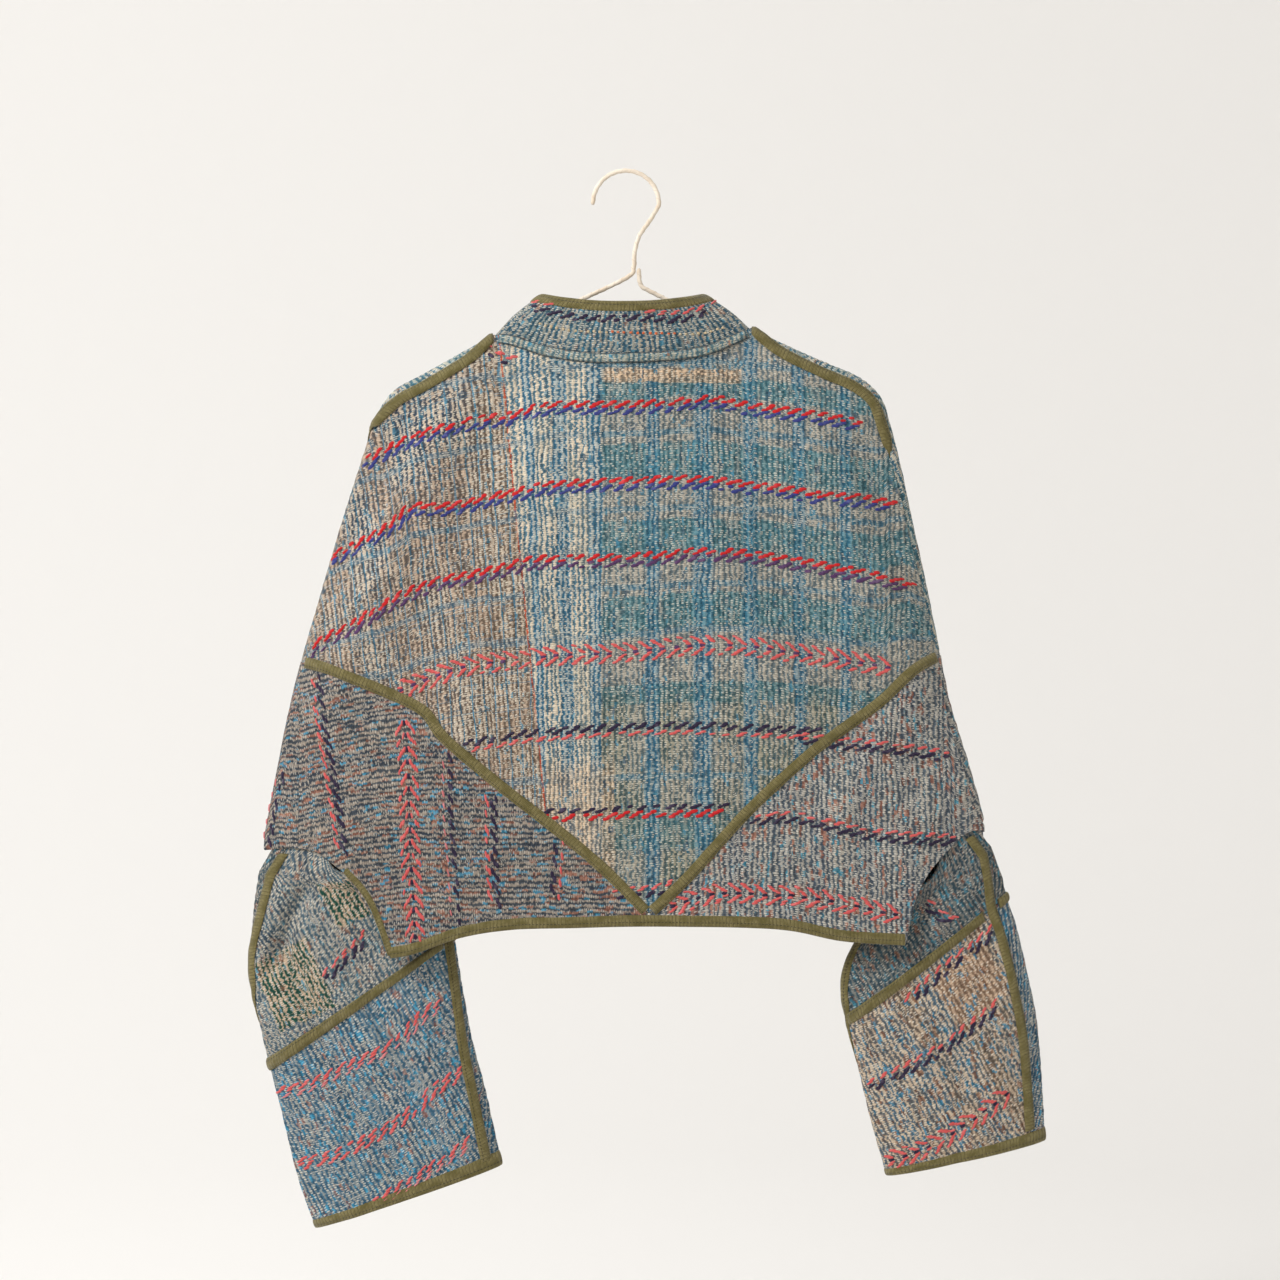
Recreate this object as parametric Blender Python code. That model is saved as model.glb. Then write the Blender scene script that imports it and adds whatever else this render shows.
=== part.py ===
"""Cropped kantha jacket on a wrapped wire hanger.

The jacket's back faces -Y and +Z is up. The origin is the inner top of the
hanger's hook, where the whole thing hangs. Cloth walls follow one body
surface, whose depth grows from the outline inwards, and two tube-like sleeves.
"""

import math

import bmesh
import bpy
from mathutils import Vector

MM = 0.001

# Cloth: layers of old cotton quilted together
WALL = 2.0 * MM
QUILT_PITCH = 15.8 * MM
SIDE_PITCH = 9.0 * MM
SIDE_START = 205.0 * MM
QUILT_HEIGHT = 0.8 * MM
QUILT_MARGIN = 12.0 * MM
INSIDE_STEP = 2
SHOULDER_ZONE = (185 * MM, 242 * MM)
V_CORNER_ZONE = 265 * MM
NECK_CORNER_ZONE = 12 * MM
CORNER_COLUMN = 4 * MM
SEAM_GAP = 1.2 * MM

# Tape bindings, raised on the seams
TAPE_WIDTH = 9.0 * MM
TAPE_HEIGHT = 2.4 * MM
TAPE_LIFT = 0.6 * MM
SIDE_LIFT = 0.85 * MM
SLEEVE_LIFT = 1.0 * MM
ARMHOLE_LIFT = 1.0 * MM
FRONT_EDGE_LIFT = 0.9 * MM
SHOULDER_LIFT = 2.2 * MM
TAPE_INSET = 5.2 * MM
THIN_WIDTH = 5.0 * MM
THIN_HEIGHT = 2.0 * MM
BAND_HEIGHT = 1.4 * MM

# Depth of the body behind and in front of the hanger's plane
BACK_FULLNESS = 32.0 * MM
FRONT_FULLNESS = 23.0 * MM
FULLNESS_REACH_SHOULDER = 105.0 * MM
FULLNESS_REACH_HEM = 62.0 * MM

FRONT_EDGE_X = 6.0 * MM
FRONT_EDGE_GAP = 4.0 * MM
WIRE_RADIUS = 2.1 * MM
WIRE_SIDES = 6
HOOK_RADIUS = 29.0 * MM

BACK, FRONT = -1, 1

# Outline of the body from neck to armhole. seam is how far the overarm seam
# lies from the outline, positive on the back; edge is the fold's radius.
# Columns, in millimetres: x, z, seam, edge
OUTLINE_LEFT = (
    (-117, -143, 0.5, 4.4),
    (-142, -157, 5, 4.4),
    (-178, -177, 6, 4.4),
    (-203, -191, 6, 4.6),
    (-216, -207, 3, 4.8),
    (-225, -230, 0, 5.2),
    (-235, -260, -3.5, 5.6),
    (-251, -310, -6, 6.0),
    (-268, -368, -6, 6.5),
    (-286, -430, -5, 7.0),
    (-297, -475, -7, 7.0),
    (-308, -530, -8, 7.5),
    (-320, -592, -8, 8.0),
)
OUTLINE_RIGHT = (
    (109, -137, 0.5, 4.4),
    (137, -151, 8, 4.4),
    (173, -167, 10, 4.4),
    (203, -180, 10, 4.6),
    (222, -197, 9, 4.8),
    (231, -222, 8, 5.2),
    (241, -262, 6, 5.6),
    (250, -305, 5, 6.0),
    (262, -360, 4, 6.5),
    (275, -424, 4, 7.0),
    (284, -468, 5, 7.0),
    (300, -520, 7, 7.5),
    (316, -578, 9, 8.0),
)

# Neckline, V seams, hem and armholes. Columns, in millimetres: x, z
NECK_BACK = ((-117, -143), (-98, -146), (-68, -156), (-31, -162), (13, -162), (60, -157), (88, -147), (109, -137))
NECK_FRONT = ((-117, -143), (-102, -160), (-76, -180), (-40, -196), (6, -203), (50, -195), (84, -175), (100, -155), (109, -137))
V_LEFT = ((-286, -430), (-258, -437), (-210, -456), (-176, -473), (-158, -496), (-112, -535), (-58, -577), (-20, -609), (19, -648))
V_RIGHT = ((19, -648), (52, -617), (103, -561), (157, -511), (188, -488), (220, -465), (250, -437), (275, -424))
HEM_BACK = ((-206, -686), (-184, -682), (-144, -668), (-100, -661), (-40, -659), (19, -658), (99, -659), (143, -662), (187, -671), (242, -675))
HEM_FRONT = ((-206, -684), (-184, -678), (-144, -664), (-100, -657), (6, -654), (99, -655), (143, -658), (187, -667), (242, -673))
ARMHOLE_LEFT = ((-320, -592), (-297, -592), (-274, -594), (-262, -600), (-245, -614), (-224, -640), (-206, -686))
ARMHOLE_RIGHT = ((316, -578), (298, -579), (279, -595), (260, -617), (247, -646), (242, -675))

# Largest folds in the hanging cloth, as soft ridges (+) and troughs (-).
# Columns, in millimetres: side, x0, z0, x1, z1, half width, height
BODY_FOLDS = (
    (BACK, -150, -200, -262, -470, 22, 5.0),
    (BACK, -195, -230, -285, -400, 16, -4.0),
    (BACK, -95, -180, -185, -440, 26, -4.0),
    (BACK, -250, -480, -180, -560, 22, 5.0),
    (BACK, -285, -560, -245, -580, 20, 4.0),
    (BACK, -60, -640, -150, -560, 20, 3.0),
    (BACK, 150, -190, 235, -400, 24, 4.0),
    (BACK, 90, -200, 185, -470, 30, -4.0),
    (BACK, 255, -450, 190, -570, 20, 5.0),
    (BACK, 280, -545, 245, -590, 20, 4.0),
    (BACK, 120, -560, 225, -640, 26, -2.5),
    (FRONT, -140, -190, -235, -430, 24, 4.0),
    (FRONT, 140, -190, 225, -440, 24, 4.0),
    (FRONT, -80, -230, -120, -560, 26, -4.0),
    (FRONT, 90, -230, 130, -560, 26, -4.0),
    (FRONT, -285, -555, -240, -580, 20, 4.0),
    (FRONT, 280, -545, 240, -580, 20, 4.0),
)

# Sleeve rings below the armhole. outer is the overarm edge, inner the
# underarm edge; back and front are the half depths; overarm and underarm are
# how far round the ring the two seams lie, in degrees from each edge.
# Columns, in millimetres: outer x, outer z, inner x, inner z, back, front, overarm, underarm
SLEEVE_LEFT = (
    (-323, -615, -186, -640, 21, 17, 33, 14),
    (-328, -653, -168, -650, 19, 16, 24, 15),
    (-330, -699, -159, -656, 18, 15, 6, 16),
    (-324, -740, -155, -664, 18, 14, -12, 17),
    (-314, -784, -153, -671, 19, 14, -22, 18),
    (-304, -822, -146, -715, 19, 14, -26, 20),
    (-295, -860, -137, -763, 18, 14, -28, 24),
    (-286, -893, -125, -809, 18, 14, -28, 28),
    (-273, -927, -111, -872, 17, 14, -28, 30),
)
SLEEVE_RIGHT = (
    (320, -594, 221, -666, 21, 17, 34, 10),
    (325, -608, 205, -676, 19, 16, 35, 10),
    (329, -619, 194, -697, 18, 15, 36, 8),
    (331, -628, 191, -720, 18, 14, 36, 4),
    (333, -636, 195, -744, 18, 14, 36, -6),
    (343, -668, 201, -772, 19, 15, 36, -14),
    (353, -712, 208, -803, 19, 15, 36, -20),
    (361, -758, 216, -836, 18, 15, 36, -24),
    (367, -850, 229, -881, 17, 14, 36, -26),
)
ELBOW_RING = 4
UNDERARM_START = {"left": 4, "right": 2}
SLEEVE_COLUMNS = 18
SLEEVE_INSIDE = (0, 1, 3, 6, 9, 12, 14, 16, 17)
SLEEVE_TUCK = 6.0 * MM
SLEEVE_RISE = 15.0 * MM
SLEEVE_UNDERLAP = 3.2 * MM

# Collar: its base is the neckline, its top a smaller ring
COLLAR_TOP_HALF_WIDTH = 72.0 * MM
COLLAR_TOP_BACK_Z = -115.0 * MM
COLLAR_TOP_SIDE_Z = -110.0 * MM
COLLAR_TOP_FRONT_Z = -158.0 * MM
COLLAR_TOP_BACK_DEPTH = 23.0 * MM
COLLAR_TOP_FRONT_DEPTH = 17.0 * MM
COLLAR_CENTRE_X = -3.5 * MM
COLLAR_FRONT_GAP = 5.0 * MM
BAND_WIDTH = 8.6 * MM

# Wire of the hanger, after its hook, in millimetres: x, z
WIRE_NECK = ((27.5, -29), (20, -42), (10.5, -56), (6.5, -71), (6, -82))
WIRE_LEFT = ((0, -92), (-44, -113), (-84, -131.5), (-119, -151.5), (-177, -182), (-203, -197.5))
WIRE_LEFT_CORNER = ((-207, -202), (-208, -207), (-204, -211.5), (-197, -213.5))
WIRE_RIGHT_CORNER = ((203, -213.5), (211, -211), (215.5, -206), (215, -200), (211, -194))
WIRE_RIGHT = ((203, -186.5), (173, -172.5), (136, -157), (107, -145.7), (75, -131), (42, -115), (17, -102.5))

COLOURS = {
    "blue": ((0.19, 0.33, 0.40), 0.92),
    "slate": ((0.21, 0.30, 0.37), 0.92),
    "tan": ((0.45, 0.36, 0.29), 0.92),
    "olive": ((0.14, 0.125, 0.04), 0.8),
    "cream_wrap": ((0.78, 0.68, 0.57), 0.85),
}


def material(name):
    """Plain Principled material of one of the jacket's colours."""
    found = bpy.data.materials.get(name)
    if found:
        return found
    colour, roughness = COLOURS[name]
    made = bpy.data.materials.new(name)
    made.use_nodes = True
    shader = made.node_tree.nodes["Principled BSDF"]
    shader.inputs["Base Color"].default_value = (*colour, 1.0)
    shader.inputs["Roughness"].default_value = roughness
    shader.inputs["Metallic"].default_value = 0.0
    return made


def add_object(name, points, faces, colour):
    """A named object from points and faces, with its normals made consistent."""
    mesh = bpy.data.meshes.new(name)
    mesh.from_pydata([tuple(p) for p in points], [], faces)
    shape = bmesh.new()
    shape.from_mesh(mesh)
    bmesh.ops.recalc_face_normals(shape, faces=shape.faces)
    if shape.calc_volume(signed=True) < 0:
        bmesh.ops.reverse_faces(shape, faces=shape.faces)
    shape.to_mesh(mesh)
    shape.free()
    mesh.shade_smooth()
    mesh.set_sharp_from_angle(angle=math.radians(50))
    mesh.materials.append(material(colour))
    made = bpy.data.objects.new(name, mesh)
    bpy.context.scene.collection.objects.link(made)
    return made


def smooth_curve(rows, steps=8):
    """Points along a Catmull-Rom curve through rows of any length, in metres."""
    rows = [[value * MM for value in row] for row in rows]
    padded = [rows[0], *rows, rows[-1]]
    found = []
    for a, b, c, d in zip(padded, padded[1:], padded[2:], padded[3:]):
        for step in range(steps):
            t = step / steps
            found.append([
                0.5 * (2 * q + (r - p) * t + (2 * p - 5 * q + 4 * r - s) * t * t + (3 * q - p - 3 * r + s) * t ** 3)
                for p, q, r, s in zip(a, b, c, d)
            ])
    found.append(rows[-1])
    return found


def at_x(curve, x):
    """The curve's row at x, between its dense points."""
    for low, high in zip(curve, curve[1:]):
        left, right = sorted((low[0], high[0]))
        if left <= x <= right and right > left:
            t = (x - low[0]) / (high[0] - low[0])
            return [a + (b - a) * t for a, b in zip(low, high)]
    return min((curve[0], curve[-1]), key=lambda row: abs(row[0] - x))


def along(curve, fraction):
    """The point a fraction of the way along a curve's length."""
    lengths = [0.0]
    for a, b in zip(curve, curve[1:]):
        lengths.append(lengths[-1] + math.dist(a[:2], b[:2]))
    wanted = fraction * lengths[-1]
    for index in range(len(curve) - 1):
        if wanted <= lengths[index + 1] or index == len(curve) - 2:
            t = (wanted - lengths[index]) / (lengths[index + 1] - lengths[index])
            return [a + (b - a) * t for a, b in zip(curve[index], curve[index + 1])]
    return curve[-1]


LEFT_EDGE = smooth_curve(OUTLINE_LEFT)
RIGHT_EDGE = smooth_curve(OUTLINE_RIGHT)
NECKLINE = {BACK: smooth_curve(NECK_BACK), FRONT: smooth_curve(NECK_FRONT)}
V_SEAM = smooth_curve(V_LEFT) + smooth_curve(V_RIGHT)[1:]
HEM = {BACK: smooth_curve(HEM_BACK), FRONT: smooth_curve(HEM_FRONT)}
ARMHOLE = {"left": smooth_curve(ARMHOLE_LEFT), "right": smooth_curve(ARMHOLE_RIGHT)}
NECK_LEFT_X, NECK_RIGHT_X = LEFT_EDGE[0][0], RIGHT_EDGE[0][0]
V_LEFT_X, V_RIGHT_X = V_LEFT[0][0] * MM, V_RIGHT[-1][0] * MM
V_TIP_X = V_RIGHT[0][0] * MM
CORNER_LEFT_X, CORNER_RIGHT_X = HEM_BACK[0][0] * MM, HEM_BACK[-1][0] * MM


def spread(start, end, count):
    """Evenly spaced values from start to end."""
    return [start + (end - start) * index / (count - 1) for index in range(count)]


def column_places():
    """Where the body's columns stand, closer together at the steep sides."""
    middle = spread(-SIDE_START, SIDE_START, round(2 * SIDE_START / QUILT_PITCH) + 1)
    whole = range(1, int((0.32 - SIDE_START) / SIDE_PITCH) + 2)
    steps = sorted([*whole, 0.5, 1.5, 2.5])
    left = [-SIDE_START - SIDE_PITCH * step for step in steps][::-1]
    right = [SIDE_START + SIDE_PITCH * step for step in steps]
    corners = [NECK_LEFT_X, NECK_LEFT_X + CORNER_COLUMN, NECK_RIGHT_X - CORNER_COLUMN, NECK_RIGHT_X]
    clear = [x for x in middle if min(abs(x - corner) for corner in corners) > 3 * MM]
    return sorted(left + clear + corners + right)


COLUMNS = column_places()
HEAD_ROWS = tuple(drop * MM for drop in (0.0, 2.5, 5.5, 9.0, 13.0, 24.0, 40.0))


def smoothstep(value):
    value = min(max(value, 0.0), 1.0)
    return value * value * (3 - 2 * value)


def nearest_on_edge(x, z):
    """Distance from the body's outline, the way inwards, and the fold radius there."""
    edge = LEFT_EDGE if x < 0 else RIGHT_EDGE
    best = None
    for a, b in zip(edge, edge[1:]):
        run_x, run_z = b[0] - a[0], b[1] - a[1]
        t = ((x - a[0]) * run_x + (z - a[1]) * run_z) / (run_x * run_x + run_z * run_z)
        t = min(max(t, 0.0), 1.0)
        away = Vector((x - a[0] - run_x * t, z - a[1] - run_z * t))
        if best is None or away.length < best[0]:
            inward = Vector((-run_z, run_x)).normalized()
            if inward.dot(Vector((-a[0], -0.45 - a[1]))) < 0:
                inward.negate()
            best = (away.length, away, inward, a[3] + (b[3] - a[3]) * t)
    distance, away, inward, radius = best
    if distance > 1.5 * MM:
        inward = away.normalized()
    return distance, inward, radius


def fold_depth(side, x, z):
    """Height of the hanging folds at a place on one side of the body."""
    total = 0.0
    for fold_side, x0, z0, x1, z1, half_width, height in BODY_FOLDS:
        if fold_side != side:
            continue
        start, run = Vector((x0 * MM, z0 * MM)), Vector(((x1 - x0) * MM, (z1 - z0) * MM))
        here = Vector((x, z)) - start
        t = here.dot(run) / run.length_squared
        across = (here - run * t).length / (half_width * MM)
        beyond = max(0.0, -t, t - 1) * run.length / (1.6 * half_width * MM)
        total += height * MM * math.exp(-across * across - beyond * beyond)
    return total


def fullness(side, x, z, distance):
    """Depth that the cloth gains from the outline inwards, without the folded edge."""
    full = BACK_FULLNESS if side == BACK else FRONT_FULLNESS
    lower = smoothstep((-z - 0.20) / 0.16)
    reach = FULLNESS_REACH_SHOULDER + (FULLNESS_REACH_HEM - FULLNESS_REACH_SHOULDER) * lower
    rise = full * (1 - math.exp(-distance / reach))
    return rise + fold_depth(side, x, z) * (1 - math.exp(-distance / (14 * MM)))


def body_point(side, x, z):
    """Middle of the cloth wall and its outward normal, at x and z on one side."""
    distance, inward, radius = nearest_on_edge(x, z)
    cosine = 1 - min(distance, radius) / radius
    sine = math.sqrt(max(0.0, 1 - cosine * cosine))
    depth = radius * sine + fullness(side, x, z, distance)
    step = 1.5 * MM
    slope_x = (fullness(side, x + step, z, nearest_on_edge(x + step, z)[0]) - fullness(side, x, z, distance)) / step
    slope_z = (fullness(side, x, z + step, nearest_on_edge(x, z + step)[0]) - fullness(side, x, z, distance)) / step
    normal = Vector((
        -inward.x * cosine - slope_x * sine,
        side * max(sine, 0.02),
        -inward.y * cosine - slope_z * sine,
    )).normalized()
    return Vector((x, side * depth, z)), normal


def fold_arc(offset, radius):
    """Length round the folded edge to a place at a distance from the outline, with its sign."""
    distance = abs(offset)
    quarter = radius * math.pi / 2
    arc = radius * math.acos(1 - distance / radius) if distance < radius else quarter + distance - radius
    return math.copysign(arc, offset)


def fold_offset(arc, radius):
    """Distance from the outline of a place at a length round the folded edge, with its sign."""
    length = abs(arc)
    quarter = radius * math.pi / 2
    distance = radius * (1 - math.cos(length / radius)) if length < quarter else radius + length - quarter
    return math.copysign(distance, arc)


def column_top(side, x, bottom):
    """Height of the outline and where a panel's column crosses the folded edge.

    The places are signed drops below the outline, negative on the far side.
    """
    edge = LEFT_EDGE if x < 0 else RIGHT_EDGE
    here, near = at_x(edge, x), at_x(edge, x + (1 if x < 0 else -1) * MM)
    steepness = math.hypot(1, (near[1] - here[1]) / MM)
    room = 0.5 * (here[1] - bottom) / steepness
    seam = min(max(here[2], -room), room)
    radius = here[3]
    start = fold_arc(seam if side == BACK else -seam, radius) + SEAM_GAP / 2
    quarter = radius * math.pi / 2
    if start < 0:
        arcs = [start, 0.62 * start, 0.28 * start, 0.0, 0.35 * quarter, 0.8 * quarter, 1.5 * quarter]
    else:
        arcs = [start + quarter * share for share in (0, 0.2, 0.45, 0.75, 1.1, 1.6, 2.2)]
    drops = [fold_offset(arc, radius) * steepness for arc in arcs]
    first = max(drops[0], 0.0)
    fit = min(1.0, 0.62 * (here[1] - bottom - first) / (drops[-1] - first))
    return here[1], [first + (drop - first) * fit if drop > first else drop for drop in drops]


def body_column(side, x, top_z, bottom_z, drops, rows):
    """Points and normals down one column of a body panel.

    drops are the signed places of the first rows, negative on the far side of
    the outline. Rows lie close at both ends.
    """
    found = [body_point(side if drop >= 0 else -side, x, top_z - abs(drop)) for drop in drops]
    low = top_z - abs(drops[-1])
    foot = (13.0 * MM, 6.0 * MM, 0.0)
    fit = min(1.0, 0.7 * (low - bottom_z) / foot[0])
    middle = rows - len(found) - len(foot)
    places = spread(low, bottom_z + fit * foot[0], middle + 2)[1:-1]
    places += [bottom_z + fit * up for up in foot]
    return found + [body_point(side, x, z) for z in places]


def wall(name, columns, colour, inside_columns, quilt_rows=False):
    """Closed cloth wall: a quilted outside and a plain inside on fewer columns.

    columns holds lists of (middle point, outward normal), all of one length.
    """
    last, rows = len(columns) - 1, len(columns[0])
    rim = [columns[i][j][0] for i in range(last + 1) for j in range(rows) if i in (0, last) or j in (0, rows - 1)]
    points, outside, inside = [], {}, {}
    for i, column in enumerate(columns):
        for j, (middle, normal) in enumerate(column):
            line = j if quilt_rows else i
            raised = 0.0
            if line % 2 and min((middle - edge).length for edge in rim) > QUILT_MARGIN:
                raised = QUILT_HEIGHT * (0.7 + 0.3 * math.sin(1.7 * i + 2.3 * j))
            outside[i, j] = len(points)
            points.append(middle + normal * (WALL / 2 + raised))
    for i in inside_columns:
        for j, (middle, normal) in enumerate(columns[i]):
            inside[i, j] = len(points)
            points.append(middle - normal * (WALL / 2))
    faces = []
    for i in range(last):
        for j in range(rows - 1):
            faces.append((outside[i, j], outside[i + 1, j], outside[i + 1, j + 1], outside[i, j + 1]))
    for a, b in zip(inside_columns, inside_columns[1:]):
        for j in range(rows - 1):
            faces.append((inside[a, j], inside[a, j + 1], inside[b, j + 1], inside[b, j]))
        middle = (a + b) // 2
        for j, flip in ((0, False), (rows - 1, True)):
            for i in range(a, b):
                near = inside[a, j] if i < middle else inside[b, j]
                face = (outside[i, j], near, outside[i + 1, j])
                faces.append(face[::-1] if flip else face)
            face = (inside[a, j], inside[b, j], outside[middle, j])
            faces.append(face[::-1] if flip else face)
    for i, flip in ((0, True), (last, False)):
        for j in range(rows - 1):
            face = (outside[i, j], inside[i, j], inside[i, j + 1], outside[i, j + 1])
            faces.append(face[::-1] if flip else face)
    return add_object(name, points, faces, colour)


def head_rows(height):
    """Drops of the first rows below a seam that lies clear of the folded edge."""
    fit = min(1.0, 0.62 * height / HEAD_ROWS[-1])
    return [drop * fit for drop in HEAD_ROWS]


def columns_between(left, right):
    """The body's column places from left to right, with the two ends themselves."""
    shortest = 2.5 * MM
    inner = [x for x in COLUMNS if left + shortest < x < right - shortest]
    return [left, *inner, right]


def plain_columns(places):
    """Which of a body panel's columns its plain inside uses: all near the shoulder, neck and V corners."""
    kept = []
    for index, x in enumerate(places):
        to_corner = min(abs(x - NECK_LEFT_X), abs(x - NECK_RIGHT_X))
        at_end = index in (0, len(places) - 1)
        at_side = SHOULDER_ZONE[0] < abs(x) < SHOULDER_ZONE[1] or abs(x) > V_CORNER_ZONE
        if at_end or at_side or to_corner < NECK_CORNER_ZONE or COLUMNS.index(x) % INSIDE_STEP == 0:
            kept.append(index)
    return kept


def rib(name, stations, colour="olive", height=TAPE_HEIGHT, lift=TAPE_LIFT, closed=False):
    """Raised strip on a surface. A station is its (point, normal) pairs from left to right."""
    points, faces = [], []
    base = WALL / 2 + lift
    for station in stations:
        points += [point + normal * base for point, normal in station]
        (left, _), (centre, normal), (right, _) = station[0], station[len(station) // 2], station[-1]
        points.append(right.lerp(centre, 0.4) + normal * (base + height))
        points.append(left.lerp(centre, 0.4) + normal * (base + height))
    sides, count = len(stations[0]) + 2, len(stations)
    for index in range(count if closed else count - 1):
        here, there = index * sides, ((index + 1) % count) * sides
        for k in range(sides):
            m = (k + 1) % sides
            faces.append((here + k, here + m, there + m, there + k))
    if not closed:
        faces.append(tuple(range(sides - 1, -1, -1)))
        faces.append(tuple((count - 1) * sides + k for k in range(sides)))
    return add_object(name, points, faces, colour)


def body_rib(name, side, route, width=TAPE_WIDTH, **options):
    """A rib on one side of the body, along (x, z) points."""
    stations = []
    for index, (x, z) in enumerate(route):
        before, after = route[max(index - 1, 0)], route[min(index + 1, len(route) - 1)]
        run = Vector((after[0] - before[0], after[1] - before[1])).normalized()
        across = Vector((-run.y, run.x)) * width / 2
        stations.append([
            body_point(side, x + across.x * k, z + across.y * k) for k in (-1, 0, 1)
        ])
    return rib(name, stations, **options)


def seam_point(edge_row, inward, offset):
    """A point on the body a signed distance from the outline, positive on the back."""
    side = BACK if offset >= 0 else FRONT
    return body_point(side, edge_row[0] + inward.x * abs(offset), edge_row[1] + inward.y * abs(offset))


def seam_rib(name, edge, outer_end):
    """The overarm binding, on the seam that runs along the body's outline."""
    neck = edge[0][0]
    start, end = sorted((neck, outer_end))
    inner = [x for x in COLUMNS if start + 4 * MM < x < end - 3 * MM]
    places = [start + 3 * MM, *inner, end] if neck == start else [start, *inner, end - 3 * MM]
    stations = []
    for x in places:
        row, near = at_x(edge, x), at_x(edge, x + (1 if x < 0 else -1) * MM)
        inward = Vector((near[1] - row[1], row[0] - near[0])).normalized()
        if inward.y > 0:
            inward.negate()
        middle = fold_arc(row[2], row[3])
        arcs = [middle + TAPE_WIDTH / 2 * k for k in (-1, -0.5, 0, 0.5, 1)]
        stations.append([seam_point(row, inward, fold_offset(arc, row[3])) for arc in arcs])
    return rib(name, stations, lift=SHOULDER_LIFT)


def v_height(x):
    return at_x(V_SEAM, x)[1]


def lower_edge(side, x):
    """Bottom edge of the lower panels: hem in the middle, armholes at the ends."""
    if x < CORNER_LEFT_X:
        return at_x(ARMHOLE["left"], x)[1]
    if x > CORNER_RIGHT_X:
        return at_x(ARMHOLE["right"], x)[1]
    return at_x(HEM[side], x)[1]


def upper_panel(name, side, left, right, rows, colour):
    """Panel above the V, from shoulder seam or neckline down."""
    columns = []
    places = columns_between(left, right)
    for x in places:
        bottom = v_height(x) + SEAM_GAP / 2
        if NECK_LEFT_X < x < NECK_RIGHT_X:
            top = at_x(NECKLINE[side], x)[1]
            columns.append(body_column(side, x, top, bottom, head_rows(top - bottom), rows))
        else:
            top, drops = column_top(side, x, bottom)
            columns.append(body_column(side, x, top, bottom, drops, rows))
    return wall(name, columns, colour, plain_columns(places))


def lower_panel(name, side, left, right, rows, colour, quilt_rows=False):
    """Panel below the V, down to the hem and the armhole."""
    columns = []
    places = columns_between(left, right)
    for x in places:
        bottom = lower_edge(side, x)
        if V_LEFT_X < x < V_RIGHT_X:
            top = v_height(x) - SEAM_GAP / 2
            columns.append(body_column(side, x, top, bottom, head_rows(top - bottom), rows))
        else:
            top, drops = column_top(side, x, bottom)
            columns.append(body_column(side, x, top, bottom, drops, rows))
    return wall(name, columns, colour, plain_columns(places), quilt_rows)


def make_body():
    inset = 3 * MM
    front_left, front_right = FRONT_EDGE_X - FRONT_EDGE_GAP / 2, FRONT_EDGE_X + FRONT_EDGE_GAP / 2
    upper_panel("back_upper", BACK, V_LEFT_X + inset, V_RIGHT_X - inset, 12, "blue")
    upper_panel("front_upper_left", FRONT, V_LEFT_X + inset, front_left, 12, "blue")
    upper_panel("front_upper_right", FRONT, front_right, V_RIGHT_X - inset, 12, "blue")
    left_end, right_end = LEFT_EDGE[-1][0] + 2 * MM, RIGHT_EDGE[-1][0] - 3 * MM
    lower_panel("back_lower_left", BACK, left_end, V_TIP_X - SEAM_GAP / 2, 10, "slate", True)
    lower_panel("back_lower_right", BACK, V_TIP_X + SEAM_GAP / 2, right_end, 10, "slate")
    lower_panel("front_lower_left", FRONT, left_end, front_left, 10, "slate", True)
    lower_panel("front_lower_right", FRONT, front_right, right_end, 10, "slate")


def v_route(start, end):
    """Places along the V seam, at the panels' own columns."""
    return [(x, v_height(x)) for x in columns_between(start, end)]


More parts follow.
